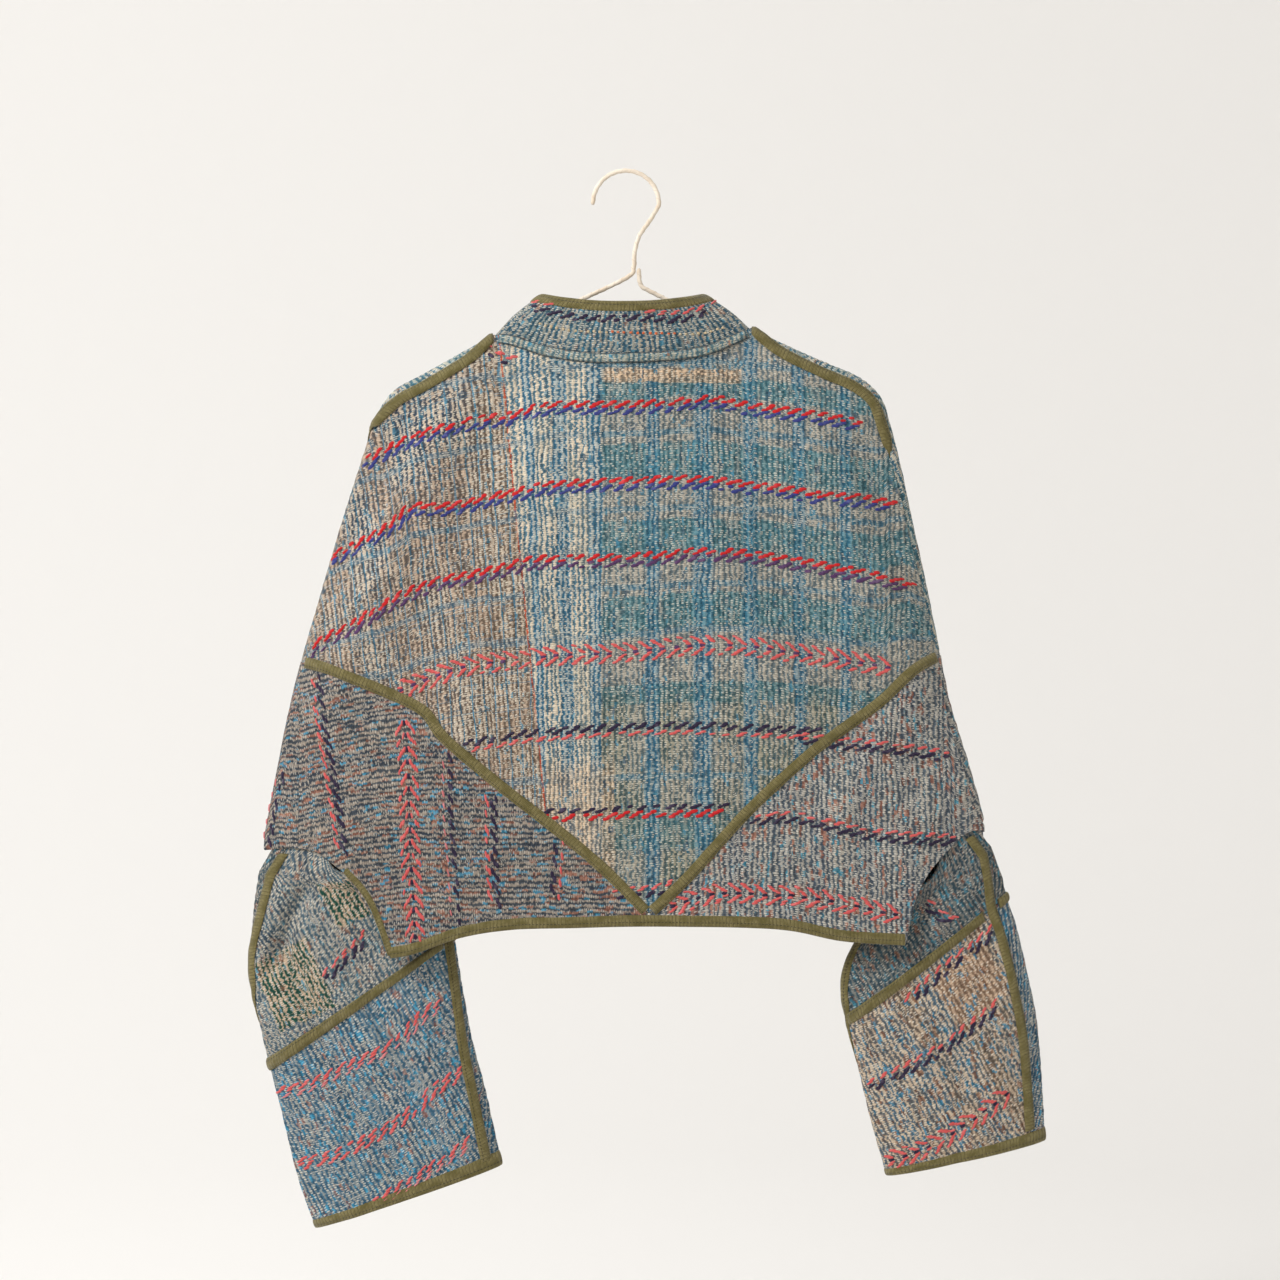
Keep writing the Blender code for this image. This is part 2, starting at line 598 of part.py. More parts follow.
def make_body_bindings():
    seam_rib("shoulder_binding_left", LEFT_EDGE, LEFT_EDGE[-1][0] + 9 * MM)
    seam_rib("shoulder_binding_right", RIGHT_EDGE, RIGHT_EDGE[-1][0] - 12 * MM)
    end_gap = 9 * MM
    edge_left, edge_right = FRONT_EDGE_X - FRONT_EDGE_GAP / 2, FRONT_EDGE_X + FRONT_EDGE_GAP / 2
    body_rib("v_binding_back_left", BACK, v_route(V_LEFT_X + end_gap, V_TIP_X - 14 * MM))
    body_rib("v_binding_back_right", BACK, v_route(V_TIP_X + 7 * MM, V_RIGHT_X - end_gap))
    body_rib("v_binding_front_left", FRONT, v_route(V_LEFT_X + 2 * end_gap, edge_left - 14 * MM))
    body_rib("v_binding_front_right", FRONT, v_route(edge_right + 25 * MM, V_RIGHT_X - end_gap))
    hem_up = TAPE_INSET - 0.4 * MM
    trim = 2 * MM
    spans = (
        ("back", BACK, CORNER_LEFT_X + trim, CORNER_RIGHT_X - trim),
        ("front_left", FRONT, CORNER_LEFT_X + trim, edge_left),
        ("front_right", FRONT, edge_right, CORNER_RIGHT_X - trim),
    )
    for name, side, start, end in spans:
        route = [(x, lower_edge(side, x) + hem_up) for x in columns_between(start, end)]
        body_rib(f"hem_binding_{name}", side, route, lift=SIDE_LIFT)
    for name, x in (("left", edge_left - TAPE_INSET), ("right", edge_right + TAPE_INSET)):
        top = at_x(NECKLINE[FRONT], x)[1] - 12 * MM
        bottom = lower_edge(FRONT, x) + 2 * hem_up + 1 * MM
        body_rib(f"front_edge_binding_{name}", FRONT, [(x, z) for z in spread(top, bottom, 12)], lift=FRONT_EDGE_LIFT)
    for name, inward in (("left", 1), ("right", -1)):
        for side, place in ((BACK, "back"), (FRONT, "front")):
            route = []
            for fraction in spread(0.14, 0.68, 8):
                x, z = along(ARMHOLE[name], fraction)[:2]
                route.append((x + inward * 3.2 * MM, z + 3.6 * MM))
            node = f"armhole_binding_{place}_{name}"
            body_rib(node, side, route, width=THIN_WIDTH, height=THIN_HEIGHT, lift=ARMHOLE_LIFT)


def neckline_point(angle):
    """Place on the neckline: 0 is the centre back, half a turn the centre front."""
    centre, half = (NECK_LEFT_X + NECK_RIGHT_X) / 2, (NECK_RIGHT_X - NECK_LEFT_X) / 2
    side = BACK if math.cos(angle) > 0 else FRONT
    x = centre + half * 0.985 * math.sin(angle)
    return side, x, at_x(NECKLINE[side], x)[1]


def collar_middle(angle, rise):
    """Middle of the collar's wall, from its base at 0 to its top at 1."""
    side, x, z = neckline_point(angle)
    base = body_point(side, x, z)[0]
    sine, cosine = math.sin(angle), math.cos(angle)
    depth = COLLAR_TOP_BACK_DEPTH if side == BACK else COLLAR_TOP_FRONT_DEPTH
    centre_z = COLLAR_TOP_BACK_Z if side == BACK else COLLAR_TOP_FRONT_Z
    top = Vector((
        COLLAR_CENTRE_X + COLLAR_TOP_HALF_WIDTH * sine,
        -depth * cosine,
        COLLAR_TOP_SIDE_Z + (centre_z - COLLAR_TOP_SIDE_Z) * cosine * cosine,
    ))
    start = base + (top - base).normalized() * 2.8 * MM
    belly = Vector((sine, -cosine * 0.6, 0)) * 3.0 * MM * math.sin(math.pi * rise)
    return start.lerp(top, rise) + belly


def collar_point(angle, rise):
    here = collar_middle(angle, rise)
    around = collar_middle(angle + 0.01, rise) - here
    up = collar_middle(angle, rise + 0.02) - here
    normal = around.cross(up).normalized()
    outward = Vector((math.sin(angle), -math.cos(angle), 0))
    return here, normal if normal.dot(outward) > 0 else -normal


def make_collar():
    half_turn = math.pi - COLLAR_FRONT_GAP / (NECK_RIGHT_X - NECK_LEFT_X) * 1.2
    angles = spread(-half_turn, half_turn, 39)
    columns = [[collar_point(a, rise) for rise in (0, 0.25, 0.5, 0.75, 1)] for a in angles]
    wall("collar", columns, "blue", list(range(0, len(angles), 2)))
    collar_height = 0.047
    tape = TAPE_WIDTH / collar_height
    stations = [[collar_point(angle, 1 - tape * k) for k in (1.0, 0.5, 0.02)] for angle in angles]
    rib("collar_binding", stations, lift=SIDE_LIFT)
    band_drop = BAND_WIDTH / 2 + 0.8 * MM
    spans = (
        ("back", BACK, NECK_LEFT_X + 9 * MM, NECK_RIGHT_X - 9 * MM, 16),
        ("front_left", FRONT, NECK_LEFT_X + 9 * MM, FRONT_EDGE_X - FRONT_EDGE_GAP / 2, 9),
        ("front_right", FRONT, FRONT_EDGE_X + FRONT_EDGE_GAP / 2, NECK_RIGHT_X - 9 * MM, 9),
    )
    for name, side, start, end, count in spans:
        route = []
        for x in spread(start, end, count):
            z = at_x(NECKLINE[side], x)[1]
            slope = (at_x(NECKLINE[side], x + MM)[1] - z) / MM
            turn = Vector((slope, -1)).normalized() * band_drop
            route.append((x + turn.x, z + turn.y))
        body_rib(f"collar_band_{name}", side, route, width=BAND_WIDTH, colour="blue", height=BAND_HEIGHT, lift=SIDE_LIFT)


def sleeve_row(table, ring):
    """The sleeve table's row at a fractional ring."""
    low = min(int(ring), len(table) - 2)
    rows = [table[max(low - 1, 0)], table[low], table[low + 1], table[min(low + 2, len(table) - 1)]]
    t = ring - low
    return [
        0.5 * (2 * q + (r - p) * t + (2 * p - 5 * q + 4 * r - s) * t * t + (3 * q - p - 3 * r + s) * t ** 3)
        for p, q, r, s in zip(*rows)
    ]


def armhole_ring(name, turn):
    """The sleeve's top edge: at the armhole's outer end, then straight across inside the body."""
    side = BACK if math.sin(turn) >= 0 else FRONT
    share = (1 - math.cos(turn)) / 2
    x, z = along(ARMHOLE[name], 0.05 + 0.91 * share)[:2]
    inward = 1 if name == "left" else -1
    table = SLEEVE_LEFT if name == "left" else SLEEVE_RIGHT
    outer_x, outer_z, inner_x, inner_z = [value * MM for value in table[0][:4]]
    inside = smoothstep((share - 0.2) / 0.4)
    x += inward * 0.8 * SLEEVE_TUCK
    z += 0.8 * SLEEVE_TUCK
    x += (outer_x + (inner_x - outer_x) * share - x) * inside
    z += (outer_z + (inner_z - outer_z) * share + SLEEVE_RISE - z) * inside
    point, normal = body_point(side, x, z)
    point = point - normal * SLEEVE_UNDERLAP
    closing = 1.0 if share < 0.8 else math.sqrt(max(0.0, 1 - ((share - 0.8) / 0.2) ** 2))
    if point.y * side < 0:
        point.y = 0.0
    point.y *= closing
    return point


def sleeve_middle(name, ring, turn):
    """Middle of the sleeve's wall. Ring 0 is tucked in the armhole; turn 0 is the outer edge."""
    table = SLEEVE_LEFT if name == "left" else SLEEVE_RIGHT
    outer_x, outer_z, inner_x, inner_z, back, front = [v * MM for v in sleeve_row(table, max(ring - 1, 0))[:6]]
    outer, inner = Vector((outer_x, 0, outer_z)), Vector((inner_x, 0, inner_z))
    depth = back if math.sin(turn) >= 0 else front
    here = (outer + inner) / 2 + (outer - inner) / 2 * math.cos(turn)
    here.y = -depth * math.sin(turn)
    if ring < 1:
        tucked = armhole_ring(name, turn)
        here = tucked.lerp(here, smoothstep(ring))
    return here


def sleeve_point(name, ring, turn):
    here = sleeve_middle(name, ring, turn)
    around = sleeve_middle(name, ring, turn + 0.02) - sleeve_middle(name, ring, turn - 0.02)
    low, high = max(ring - 0.05, 0.0), min(ring + 0.05, 9.0)
    down = sleeve_middle(name, high, turn) - sleeve_middle(name, low, turn)
    normal = around.cross(down).normalized()
    centre = (sleeve_middle(name, ring, 0) + sleeve_middle(name, ring, math.pi)) / 2
    return here, normal if normal.dot(here - centre) > 0 else -normal


def seam_turns(name, ring):
    """How far round the sleeve its overarm and underarm seams lie."""
    table = SLEEVE_LEFT if name == "left" else SLEEVE_RIGHT
    overarm, underarm = sleeve_row(table, max(ring - 1, 0))[6:]
    return math.radians(overarm), math.pi - math.radians(underarm)


def panel_turns(name, ring, is_back):
    """Turns of a sleeve panel's columns at a ring, from seam to seam."""
    overarm, underarm = seam_turns(name, ring)
    start, end = (overarm, underarm) if is_back else (underarm, overarm + 2 * math.pi)
    gaps = []
    for turn in (start, end):
        pace = (sleeve_middle(name, ring, turn + 0.01) - sleeve_middle(name, ring, turn - 0.01)).length / 0.02
        gaps.append(0.9 * SEAM_GAP / max(pace, 8 * MM))
    return spread(start + gaps[0], end - gaps[1], SLEEVE_COLUMNS)


def sleeve_panel(node, name, rings, is_back, colour):
    columns = [[] for _ in range(SLEEVE_COLUMNS)]
    for ring in rings:
        for column, turn in zip(columns, panel_turns(name, ring, is_back)):
            column.append(sleeve_point(name, ring, turn))
    wall(node, columns, colour, SLEEVE_INSIDE)


def make_sleeve(name):
    elbow = ELBOW_RING + 1
    seam = 0.012
    upper = [0, 0.5, 1, 2, 3, 4, elbow - seam * 2]
    lower = [elbow + seam, 6, 7, 8, 9]
    for place, is_back in (("back", True), ("front", False)):
        sleeve_panel(f"upper_sleeve_{place}_{name}", name, upper, is_back, "slate")
        sleeve_panel(f"lower_sleeve_{place}_{name}", name, lower, is_back, "blue")
    make_sleeve_bindings(name, elbow)


def make_sleeve_bindings(name, elbow):
    lengthwise = [1.5, 2, 3, 4, 4.6, 5.2, 6, 7, 8, 8.86]
    for seam_name, index, first in (("overarm", 0, 1.5), ("underarm", 1, UNDERARM_START[name])):
        stations = []
        for ring in [ring for ring in lengthwise if ring >= first]:
            turn = seam_turns(name, ring)[index]
            stations.append([sleeve_point(name, ring, turn + 0.13 * k) for k in (-1, 0, 1)])
        rib(f"{seam_name}_binding_{name}", stations, lift=SLEEVE_LIFT)
    half = 0.11
    clear = 0.26
    for place, is_back in (("back", True), ("front", False)):
        turns = panel_turns(name, elbow, is_back)
        inner = [turn for turn in turns if turns[0] + clear + 0.05 < turn < turns[-1] - clear - 0.05]
        stations = []
        for turn in (turns[0] + clear, *inner, turns[-1] - clear):
            stations.append([sleeve_point(name, elbow + half * k, turn) for k in (-1, 0, 1)])
        rib(f"elbow_binding_{place}_{name}", stations, lift=SIDE_LIFT)
    around = panel_turns(name, 9, True) + panel_turns(name, 9, False)
    stations = [[sleeve_point(name, ring, turn) for ring in (8.90, 8.95, 9.0)] for turn in around]
    rib(f"cuff_binding_{name}", stations, lift=SIDE_LIFT, closed=True)


def tube(name, path, radius, sides, colour):
    """Round wire along a path that lies in the hanger's plane."""
    points, faces = [], []
    for index, here in enumerate(path):
        before, after = path[max(index - 1, 0)], path[min(index + 1, len(path) - 1)]
        run = (after - before).normalized()
        flat = Vector((0, 1, 0))
        across = run.cross(flat).normalized()
        for k in range(sides):
            turn = 2 * math.pi * k / sides
            points.append(here + across * radius * math.cos(turn) + flat * radius * math.sin(turn))
    for index in range(len(path) - 1):
        for k in range(sides):
            m = (k + 1) % sides
            a, b = index * sides, (index + 1) * sides
            faces.append((a + k, a + m, b + m, b + k))
    faces.append(tuple(range(sides)))
    faces.append(tuple((len(path) - 1) * sides + k for k in range(sides - 1, -1, -1)))
    return add_object(name, points, faces, colour)


def make_hanger():
    """One wire: hook, neck, left arm, bottom bar, right arm back to the neck."""
    centre = Vector((-1.0 * MM, 0, WIRE_RADIUS - HOOK_RADIUS))
    path = []
    for step in range(13):
        turn = math.radians(182 - 186 * step / 12)
        path.append(centre + Vector((math.cos(turn), 0, math.sin(turn))) * HOOK_RADIUS)
    rows = [(path[-1].x / MM, path[-1].z / MM), *WIRE_NECK[1:], *WIRE_LEFT]
    path = path[:-1] + [Vector((x, 0, z)) for x, z in smooth_curve(rows, 2)]
    corner = smooth_curve((WIRE_LEFT[-1], *WIRE_LEFT_CORNER), 2)[1:]
    path += [Vector((x, 0, z)) for x, z in corner]
    corner = smooth_curve((*WIRE_RIGHT_CORNER, WIRE_RIGHT[0]), 2)
    path += [Vector((x, 0, z)) for x, z in corner]
    path += [Vector((x * MM, 0, z * MM)) for x, z in WIRE_RIGHT[1:]]
    tube("hanger", path, WIRE_RADIUS, WIRE_SIDES, "cream_wrap")


for old in list(bpy.data.objects):
    bpy.data.objects.remove(old, do_unlink=True)
make_hanger()
make_body()
make_body_bindings()
make_collar()
make_sleeve("left")
make_sleeve("right")
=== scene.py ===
"""Looks of a cropped kantha jacket that hangs, back outwards, on a wrapped wire hanger."""

import math

import bpy
import numpy as np
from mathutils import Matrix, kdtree


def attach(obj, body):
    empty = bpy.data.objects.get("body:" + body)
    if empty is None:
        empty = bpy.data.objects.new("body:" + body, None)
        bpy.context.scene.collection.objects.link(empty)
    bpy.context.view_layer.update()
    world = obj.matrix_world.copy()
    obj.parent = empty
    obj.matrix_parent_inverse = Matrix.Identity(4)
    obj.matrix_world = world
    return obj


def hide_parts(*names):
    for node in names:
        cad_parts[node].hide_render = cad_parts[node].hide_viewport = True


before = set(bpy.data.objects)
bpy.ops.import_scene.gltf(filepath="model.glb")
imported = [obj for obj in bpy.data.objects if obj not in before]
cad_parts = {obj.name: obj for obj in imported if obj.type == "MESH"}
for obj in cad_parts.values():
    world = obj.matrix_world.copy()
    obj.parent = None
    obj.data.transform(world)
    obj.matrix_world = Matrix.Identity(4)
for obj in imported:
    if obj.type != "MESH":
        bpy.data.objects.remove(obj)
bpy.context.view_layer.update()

# The hanger: one steel wire bent to a hook, two arms and a bottom bar, and wound from end
# to end with a narrow strip of cream cotton. Each turn of the strip laps over the last one,
# so its edge makes a shallow spiral step along the whole wire.
MM = 0.001
WIRE_RADIUS = 2.1 * MM
HOOK_RADIUS = 29.0 * MM
HOOK_TURNS = (182, -4)
WRAP_PITCH = 7.5 * MM
WRAP_STEP = 0.42 * MM
# Columns, in millimetres: x, z
WIRE_NECK = ((20, -42), (10.5, -56), (6.5, -71), (6, -82))
WIRE_LEFT = ((0, -92), (-44, -113), (-84, -131.5), (-119, -151.5), (-177, -182), (-203, -197.5))
WIRE_LEFT_CORNER = ((-207, -202), (-208, -207), (-204, -211.5), (-197, -213.5))
WIRE_RIGHT_CORNER = ((203, -213.5), (211, -211), (215.5, -206), (215, -200), (211, -194))
WIRE_RIGHT = ((203, -186.5), (173, -172.5), (136, -157), (107, -145.7), (75, -131), (42, -115),
              (17, -102.5),
              (13.5, -100.6), (11.6, -98), (10.8, -94), (10.4, -84))


def shade(red, green, blue):
    """Linear colour of a swatch that reads red, green, blue of 255 on a screen."""
    return [((value / 255 + 0.055) / 1.055) ** 2.4 for value in (red, green, blue)] + [1.0]


def between_rows(p, q, r, s, t):
    """The Catmull-Rom curve from row q to row r at share t, with p before and s after them."""
    bend = (2 * p - 5 * q + 4 * r - s) * t * t
    return 0.5 * (2 * q + (r - p) * t + bend + (3 * q - p - 3 * r + s) * t ** 3)


def smooth_curve(rows, steps=8):
    """Points along a Catmull-Rom curve through rows of any length, in metres."""
    rows = np.asarray(rows, float) * MM
    padded = np.vstack([rows[:1], rows, rows[-1:]])
    found = []
    for p, q, r, s in zip(padded, padded[1:], padded[2:], padded[3:]):
        for t in np.arange(steps) / steps:
            found.append(between_rows(p, q, r, s, t))
    return np.array([*found, rows[-1]])


def evenly_along(points, step):
    """The same route with points a step apart."""
    lengths = np.concatenate([[0], np.cumsum(np.linalg.norm(np.diff(points, axis=0), axis=1))])
    places = np.linspace(0, lengths[-1], max(int(lengths[-1] / step), 2) + 1)
    return np.stack([np.interp(places, lengths, column) for column in points.T], axis=1), places


def unit(vectors):
    return vectors / np.maximum(np.linalg.norm(vectors, axis=-1, keepdims=True), 1e-12)


def lattice_noise(x, y, seed):
    """Smooth noise from -1 to 1 at places x, y, one bump a unit."""
    table = np.random.RandomState(seed).rand(64, 64) * 2 - 1
    low_x, low_y = np.floor(x).astype(int), np.floor(y).astype(int)
    part_x, part_y = x - low_x, y - low_y
    part_x, part_y = part_x ** 2 * (3 - 2 * part_x), part_y ** 2 * (3 - 2 * part_y)
    corner = [[table[(low_x + i) % 64, (low_y + j) % 64] for j in (0, 1)] for i in (0, 1)]
    near = corner[0][0] * (1 - part_y) + corner[0][1] * part_y
    far = corner[1][0] * (1 - part_y) + corner[1][1] * part_y
    return near * (1 - part_x) + far * part_x


class Signal:
    """A shader value. Plain arithmetic on it adds Math nodes to its own tree."""

    def __init__(self, socket):
        self.socket = socket

    def __add__(self, other):
        return calc("ADD", self, other)

    def __radd__(self, other):
        return calc("ADD", other, self)

    def __sub__(self, other):
        return calc("SUBTRACT", self, other)

    def __rsub__(self, other):
        return calc("SUBTRACT", other, self)

    def __mul__(self, other):
        return calc("MULTIPLY", self, other)

    def __truediv__(self, other):
        return calc("DIVIDE", self, other)


def link(value, target):
    """Feeds a shader value into an input."""
    target.id_data.links.new(getattr(value, "socket", value), target)


def tree_of(*values):
    """The node tree that a shader value among these belongs to."""
    return next(value.socket.id_data for value in values if isinstance(value, Signal))


def node(tree, kind, sockets=(), **settings):
    """A shader node with its settings, and its inputs set or linked."""
    made = tree.nodes.new(kind)
    for name, value in settings.items():
        setattr(made, name, value)
    for key, value in dict(sockets).items():
        if isinstance(value, (Signal, bpy.types.NodeSocket)):
            link(value, made.inputs[key])
        else:
            made.inputs[key].default_value = value
    return made


def calc(operation, *values):
    """A sum on shader values, with the name that the Math node gives it."""
    made = node(tree_of(*values), "ShaderNodeMath", enumerate(values), operation=operation)
    return Signal(made.outputs[0])


def mixed(amount, first, second, mode="MIX"):
    sockets = {0: amount, 6: first, 7: second}
    made = node(tree_of(amount, first, second), "ShaderNodeMix", sockets, data_type="RGBA", blend_type=mode)
    return Signal(made.outputs[2])


def soft_step(value, low, high):
    """0 below low, 1 above high, smooth between."""
    sockets = {"Value": value, "From Min": low, "From Max": high}
    made = node(tree_of(value), "ShaderNodeMapRange", sockets, interpolation_type="SMOOTHSTEP")
    return Signal(made.outputs["Result"])


def zigzag(value):
    """0 at whole numbers, 1 halfway between them."""
    return calc("PINGPONG", value, 0.5) * 2.0


def about_half(value, amount):
    """A chance from 0 to 1 turned into a shift either way."""
    return (value - 0.5) * amount


def grain_noise(vector, scale, detail=2.0):
    sockets = {"Vector": vector, "Scale": scale, "Detail": detail}
    return Signal(node(tree_of(vector), "ShaderNodeTexNoise", sockets).outputs["Fac"])


def stretched(vector, x, y):
    """The vector's first two numbers times x and y."""
    made = node(tree_of(vector), "ShaderNodeVectorMath", {0: vector, 1: (x, y, 1)}, operation="MULTIPLY")
    return Signal(made.outputs[0])


def numbers(vector):
    """The three numbers of a vector."""
    made = node(tree_of(vector), "ShaderNodeSeparateXYZ", {0: vector})
    return [Signal(output) for output in made.outputs]


def map_place(tree, name):
    """Place on one of a piece's own UV maps."""
    return Signal(node(tree, "ShaderNodeUVMap", uv_map=name).outputs["UV"])


def new_material(name, roughness, sheen=0.0):
    """A material with its tree and its Principled shader."""
    made = bpy.data.materials.new(name)
    made.use_nodes = True
    shader = made.node_tree.nodes["Principled BSDF"]
    shader.inputs["Roughness"].default_value = roughness
    shader.inputs["Sheen Weight"].default_value = sheen
    shader.inputs["Specular IOR Level"].default_value = 0.25
    return made, made.node_tree, shader


def raise_surface(shader, height, distance, strength=1.0):
    sockets = {"Height": height, "Distance": distance, "Strength": strength}
    bump = node(shader.id_data, "ShaderNodeBump", sockets)
    link(bump.outputs["Normal"], shader.inputs["Normal"])


def add_piece(name, points, faces, material, maps=None, smooth_angle=60):
    """An object at the origin from points and faces, with its UV maps in metres."""
    mesh = bpy.data.meshes.new(name)
    mesh.from_pydata(np.asarray(points, float).tolist(), [], [tuple(map(int, face)) for face in faces])
    corners = np.empty(len(mesh.loops), int)
    mesh.loops.foreach_get("vertex_index", corners)
    for label, places in (maps or {}).items():
        layer = mesh.uv_layers.new(name=label)
        layer.data.foreach_set("uv", np.asarray(places, float)[corners].ravel())
    mesh.materials.append(material)
    mesh.shade_smooth()
    mesh.set_sharp_from_angle(angle=math.radians(smooth_angle))
    made = bpy.data.objects.new(name, mesh)
    bpy.context.scene.collection.objects.link(made)
    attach(made, "root")
    return made


def tube_faces(count, sides, closed=False):
    """Quads between rings of points, with fans of triangles over open ends."""
    faces = []
    for index in range(count if closed else count - 1):
        here, there = index * sides, (index + 1) % count * sides
        for k in range(sides):
            m = (k + 1) % sides
            faces.append((here + k, here + m, there + m, there + k))
    if not closed:
        last = (count - 1) * sides
        faces.append(tuple(range(sides - 1, -1, -1)))
        faces.append(tuple(range(last, last + sides)))
    return faces


def wrap_cloth():
    """Cream cotton strip, worn and slightly grey where hands lift the hook."""
    made, tree, shader = new_material("cream wrap", 0.85, sheen=0.15)
    along = map_place(tree, "wrap")
    place = Signal(node(tree, "ShaderNodeTexCoord").outputs["Object"])
    turn = numbers(along)[0]
    lap = calc("FRACT", turn)
    blotch = grain_noise(place, 60.0)
    weave = grain_noise(stretched(along, 14, 40), 1.0)
    colour = mixed(soft_step(blotch, 0.35, 0.7), shade(236, 224, 207), shade(219, 202, 180))
    edge = soft_step(lap, 0.1, 0.0)
    colour = mixed(edge * 0.45, colour, shade(168, 146, 122))
    link(colour, shader.inputs["Base Color"])
    raise_surface(shader, weave, 0.25 * MM, 0.5)
    return made


hook_turns = np.radians(np.linspace(*HOOK_TURNS, 40))
hook_centre = np.array([-MM, WIRE_RADIUS - HOOK_RADIUS])
hook = hook_centre + HOOK_RADIUS * np.stack([np.cos(hook_turns), np.sin(hook_turns)], axis=1)
arms = smooth_curve([hook[-1] / MM, *WIRE_NECK, *WIRE_LEFT])
left_corner = smooth_curve([WIRE_LEFT[-1], *WIRE_LEFT_CORNER])
right_corner = smooth_curve([*WIRE_RIGHT_CORNER, WIRE_RIGHT[0]])
right_arm = np.array(WIRE_RIGHT[1:]) * MM
wire_parts = [hook[:-1], arms, left_corner[1:], right_corner, right_arm]
wire, wire_length = evenly_along(np.vstack(wire_parts), MM)
wire_run = unit(np.gradient(wire, axis=0))
wire_across = np.stack([-wire_run[:, 1], wire_run[:, 0]], axis=1)
wire_turn = np.linspace(0, 2 * math.pi, 17)[:-1]
lap = wire_length[:, None] / WRAP_PITCH - wire_turn[None, :] / (2 * math.pi)
strip = lap - np.floor(lap)
girth = WIRE_RADIUS - 0.35 * MM + WRAP_STEP * (1 - strip) ** 1.5
girth += 0.12 * MM * lattice_noise(wire_length[:, None] / (3 * MM), wire_turn[None, :] * 2 + 0 * lap, 3)
ends = np.minimum(wire_length, wire_length[-1] - wire_length)
girth *= np.clip(0.45 + ends / (3 * MM), 0, 1)[:, None]
wire_points = np.stack([
    wire[:, None, 0] + wire_across[:, None, 0] * girth * np.cos(wire_turn),
    girth * np.sin(wire_turn),
    wire[:, None, 1] + wire_across[:, None, 1] * girth * np.cos(wire_turn),
], axis=2)
wrap_map = np.stack([lap + 100, np.broadcast_to(wire_turn, lap.shape)], axis=2)
hanger = add_piece(
    "wrapped_hanger", wire_points.reshape(-1, 3), tube_faces(len(wire), 16), wrap_cloth(),
    {"wrap": wrap_map.reshape(-1, 2)}, 75,
)
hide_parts("hanger")


# The body cloth: old layered cottons quilted together by close rows of running stitch, which
# draw the cloth up into thin wavy cords. The jacket's back and fronts are cut from it and
# hang over the hanger as one soft surface that turns over at the outline.
CLOTH = 1.7 * MM
CORD_PITCH = 4.7 * MM
ROW_PITCH = 1.9 * MM
CORD_RAISE = 0.42 * MM
BACK_FULLNESS = 32.0 * MM
FRONT_FULLNESS = 23.0 * MM
FULLNESS_REACH_SHOULDER = 105.0 * MM
FULLNESS_REACH_HEM = 62.0 * MM
SEAM_GAP = 1.2 * MM
BACK, FRONT = -1, 1
# Below the shoulders, the front's edge tucks under the back's folded edge
LAP_START = 232.0 * MM
LAP_WIDTH = 5.0 * MM
LAP_DEPTH = 2.6 * MM
# Shares of a panel's rows and of its height that go to the part wrapped round the folded edge
FOLD_ROWS = 0.07
FOLD_SHARE = 0.01
# Outline from neck to armhole. Columns, in millimetres: x, z, overarm seam, radius of the fold
OUTLINE_LEFT = (
    (-117, -143, 0.5, 4.4),
    (-142, -157, 8.5, 4.4),
    (-178, -177, 10.5, 4.4),
    (-203, -191, 10, 4.6),
    (-216, -207, 6.5, 4.8),
    (-225, -230, -2, 5.2),
    (-235, -260, -9, 5.6),
    (-251, -310, -12, 6.0),
    (-268, -368, -12, 6.5),
    (-286, -430, -12, 7.0),
    (-297, -475, -13, 7.0),
    (-308, -530, -13, 7.5),
    (-320, -592, -13, 8.0),
)
OUTLINE_RIGHT = (
    (109, -137, 0.5, 4.4),
    (137, -151, 8, 4.4),
    (173, -167, 10, 4.4),
    (203, -180, 10, 4.6),
    (222, -197, 9, 4.8),
    (231, -222, 8, 5.2),
    (241, -262, 6, 5.6),
    (250, -305, 5, 6.0),
    (262, -360, 4, 6.5),
    (275, -424, 4, 7.0),
    (284, -468, 5, 7.0),
    (300, -520, 7, 7.5),
    (316, -578, 9, 8.0),
)
# Neckline, V seams, hem and armholes. Columns, in millimetres: x, z
NECK_BACK = (
    (-117, -143), (-98, -146), (-68, -156), (-31, -162), (13, -162), (60, -157), (88, -147),
    (109, -137),
)
NECK_FRONT = (
    (-117, -143), (-102, -160), (-76, -180), (-40, -196), (6, -203), (50, -195), (84, -175),
    (100, -155), (109, -137),
)
V_LEFT = (
    (-286, -430), (-258, -437), (-210, -456), (-176, -473), (-158, -496), (-112, -535),
    (-58, -577), (-20, -609), (19, -648),
)
V_RIGHT = (
    (19, -648), (52, -617), (103, -561), (157, -511), (188, -488), (220, -465), (250, -437),
    (275, -424),
)
HEM_BACK = (
    (-206, -686), (-184, -682), (-144, -668), (-100, -661), (-40, -659), (19, -658), (99, -659),
    (143, -662), (187, -671), (242, -675),
)
HEM_FRONT = (
    (-206, -684), (-184, -678), (-144, -664), (-100, -657), (6, -654), (99, -655), (143, -658),
    (187, -667), (242, -673),
)
ARMHOLE_LEFT = (
    (-320, -592), (-297, -592), (-274, -594), (-262, -600), (-245, -614), (-224, -640),
    (-206, -686),
)
ARMHOLE_RIGHT = ((316, -578), (298, -579), (279, -595), (260, -617), (247, -646), (242, -675))
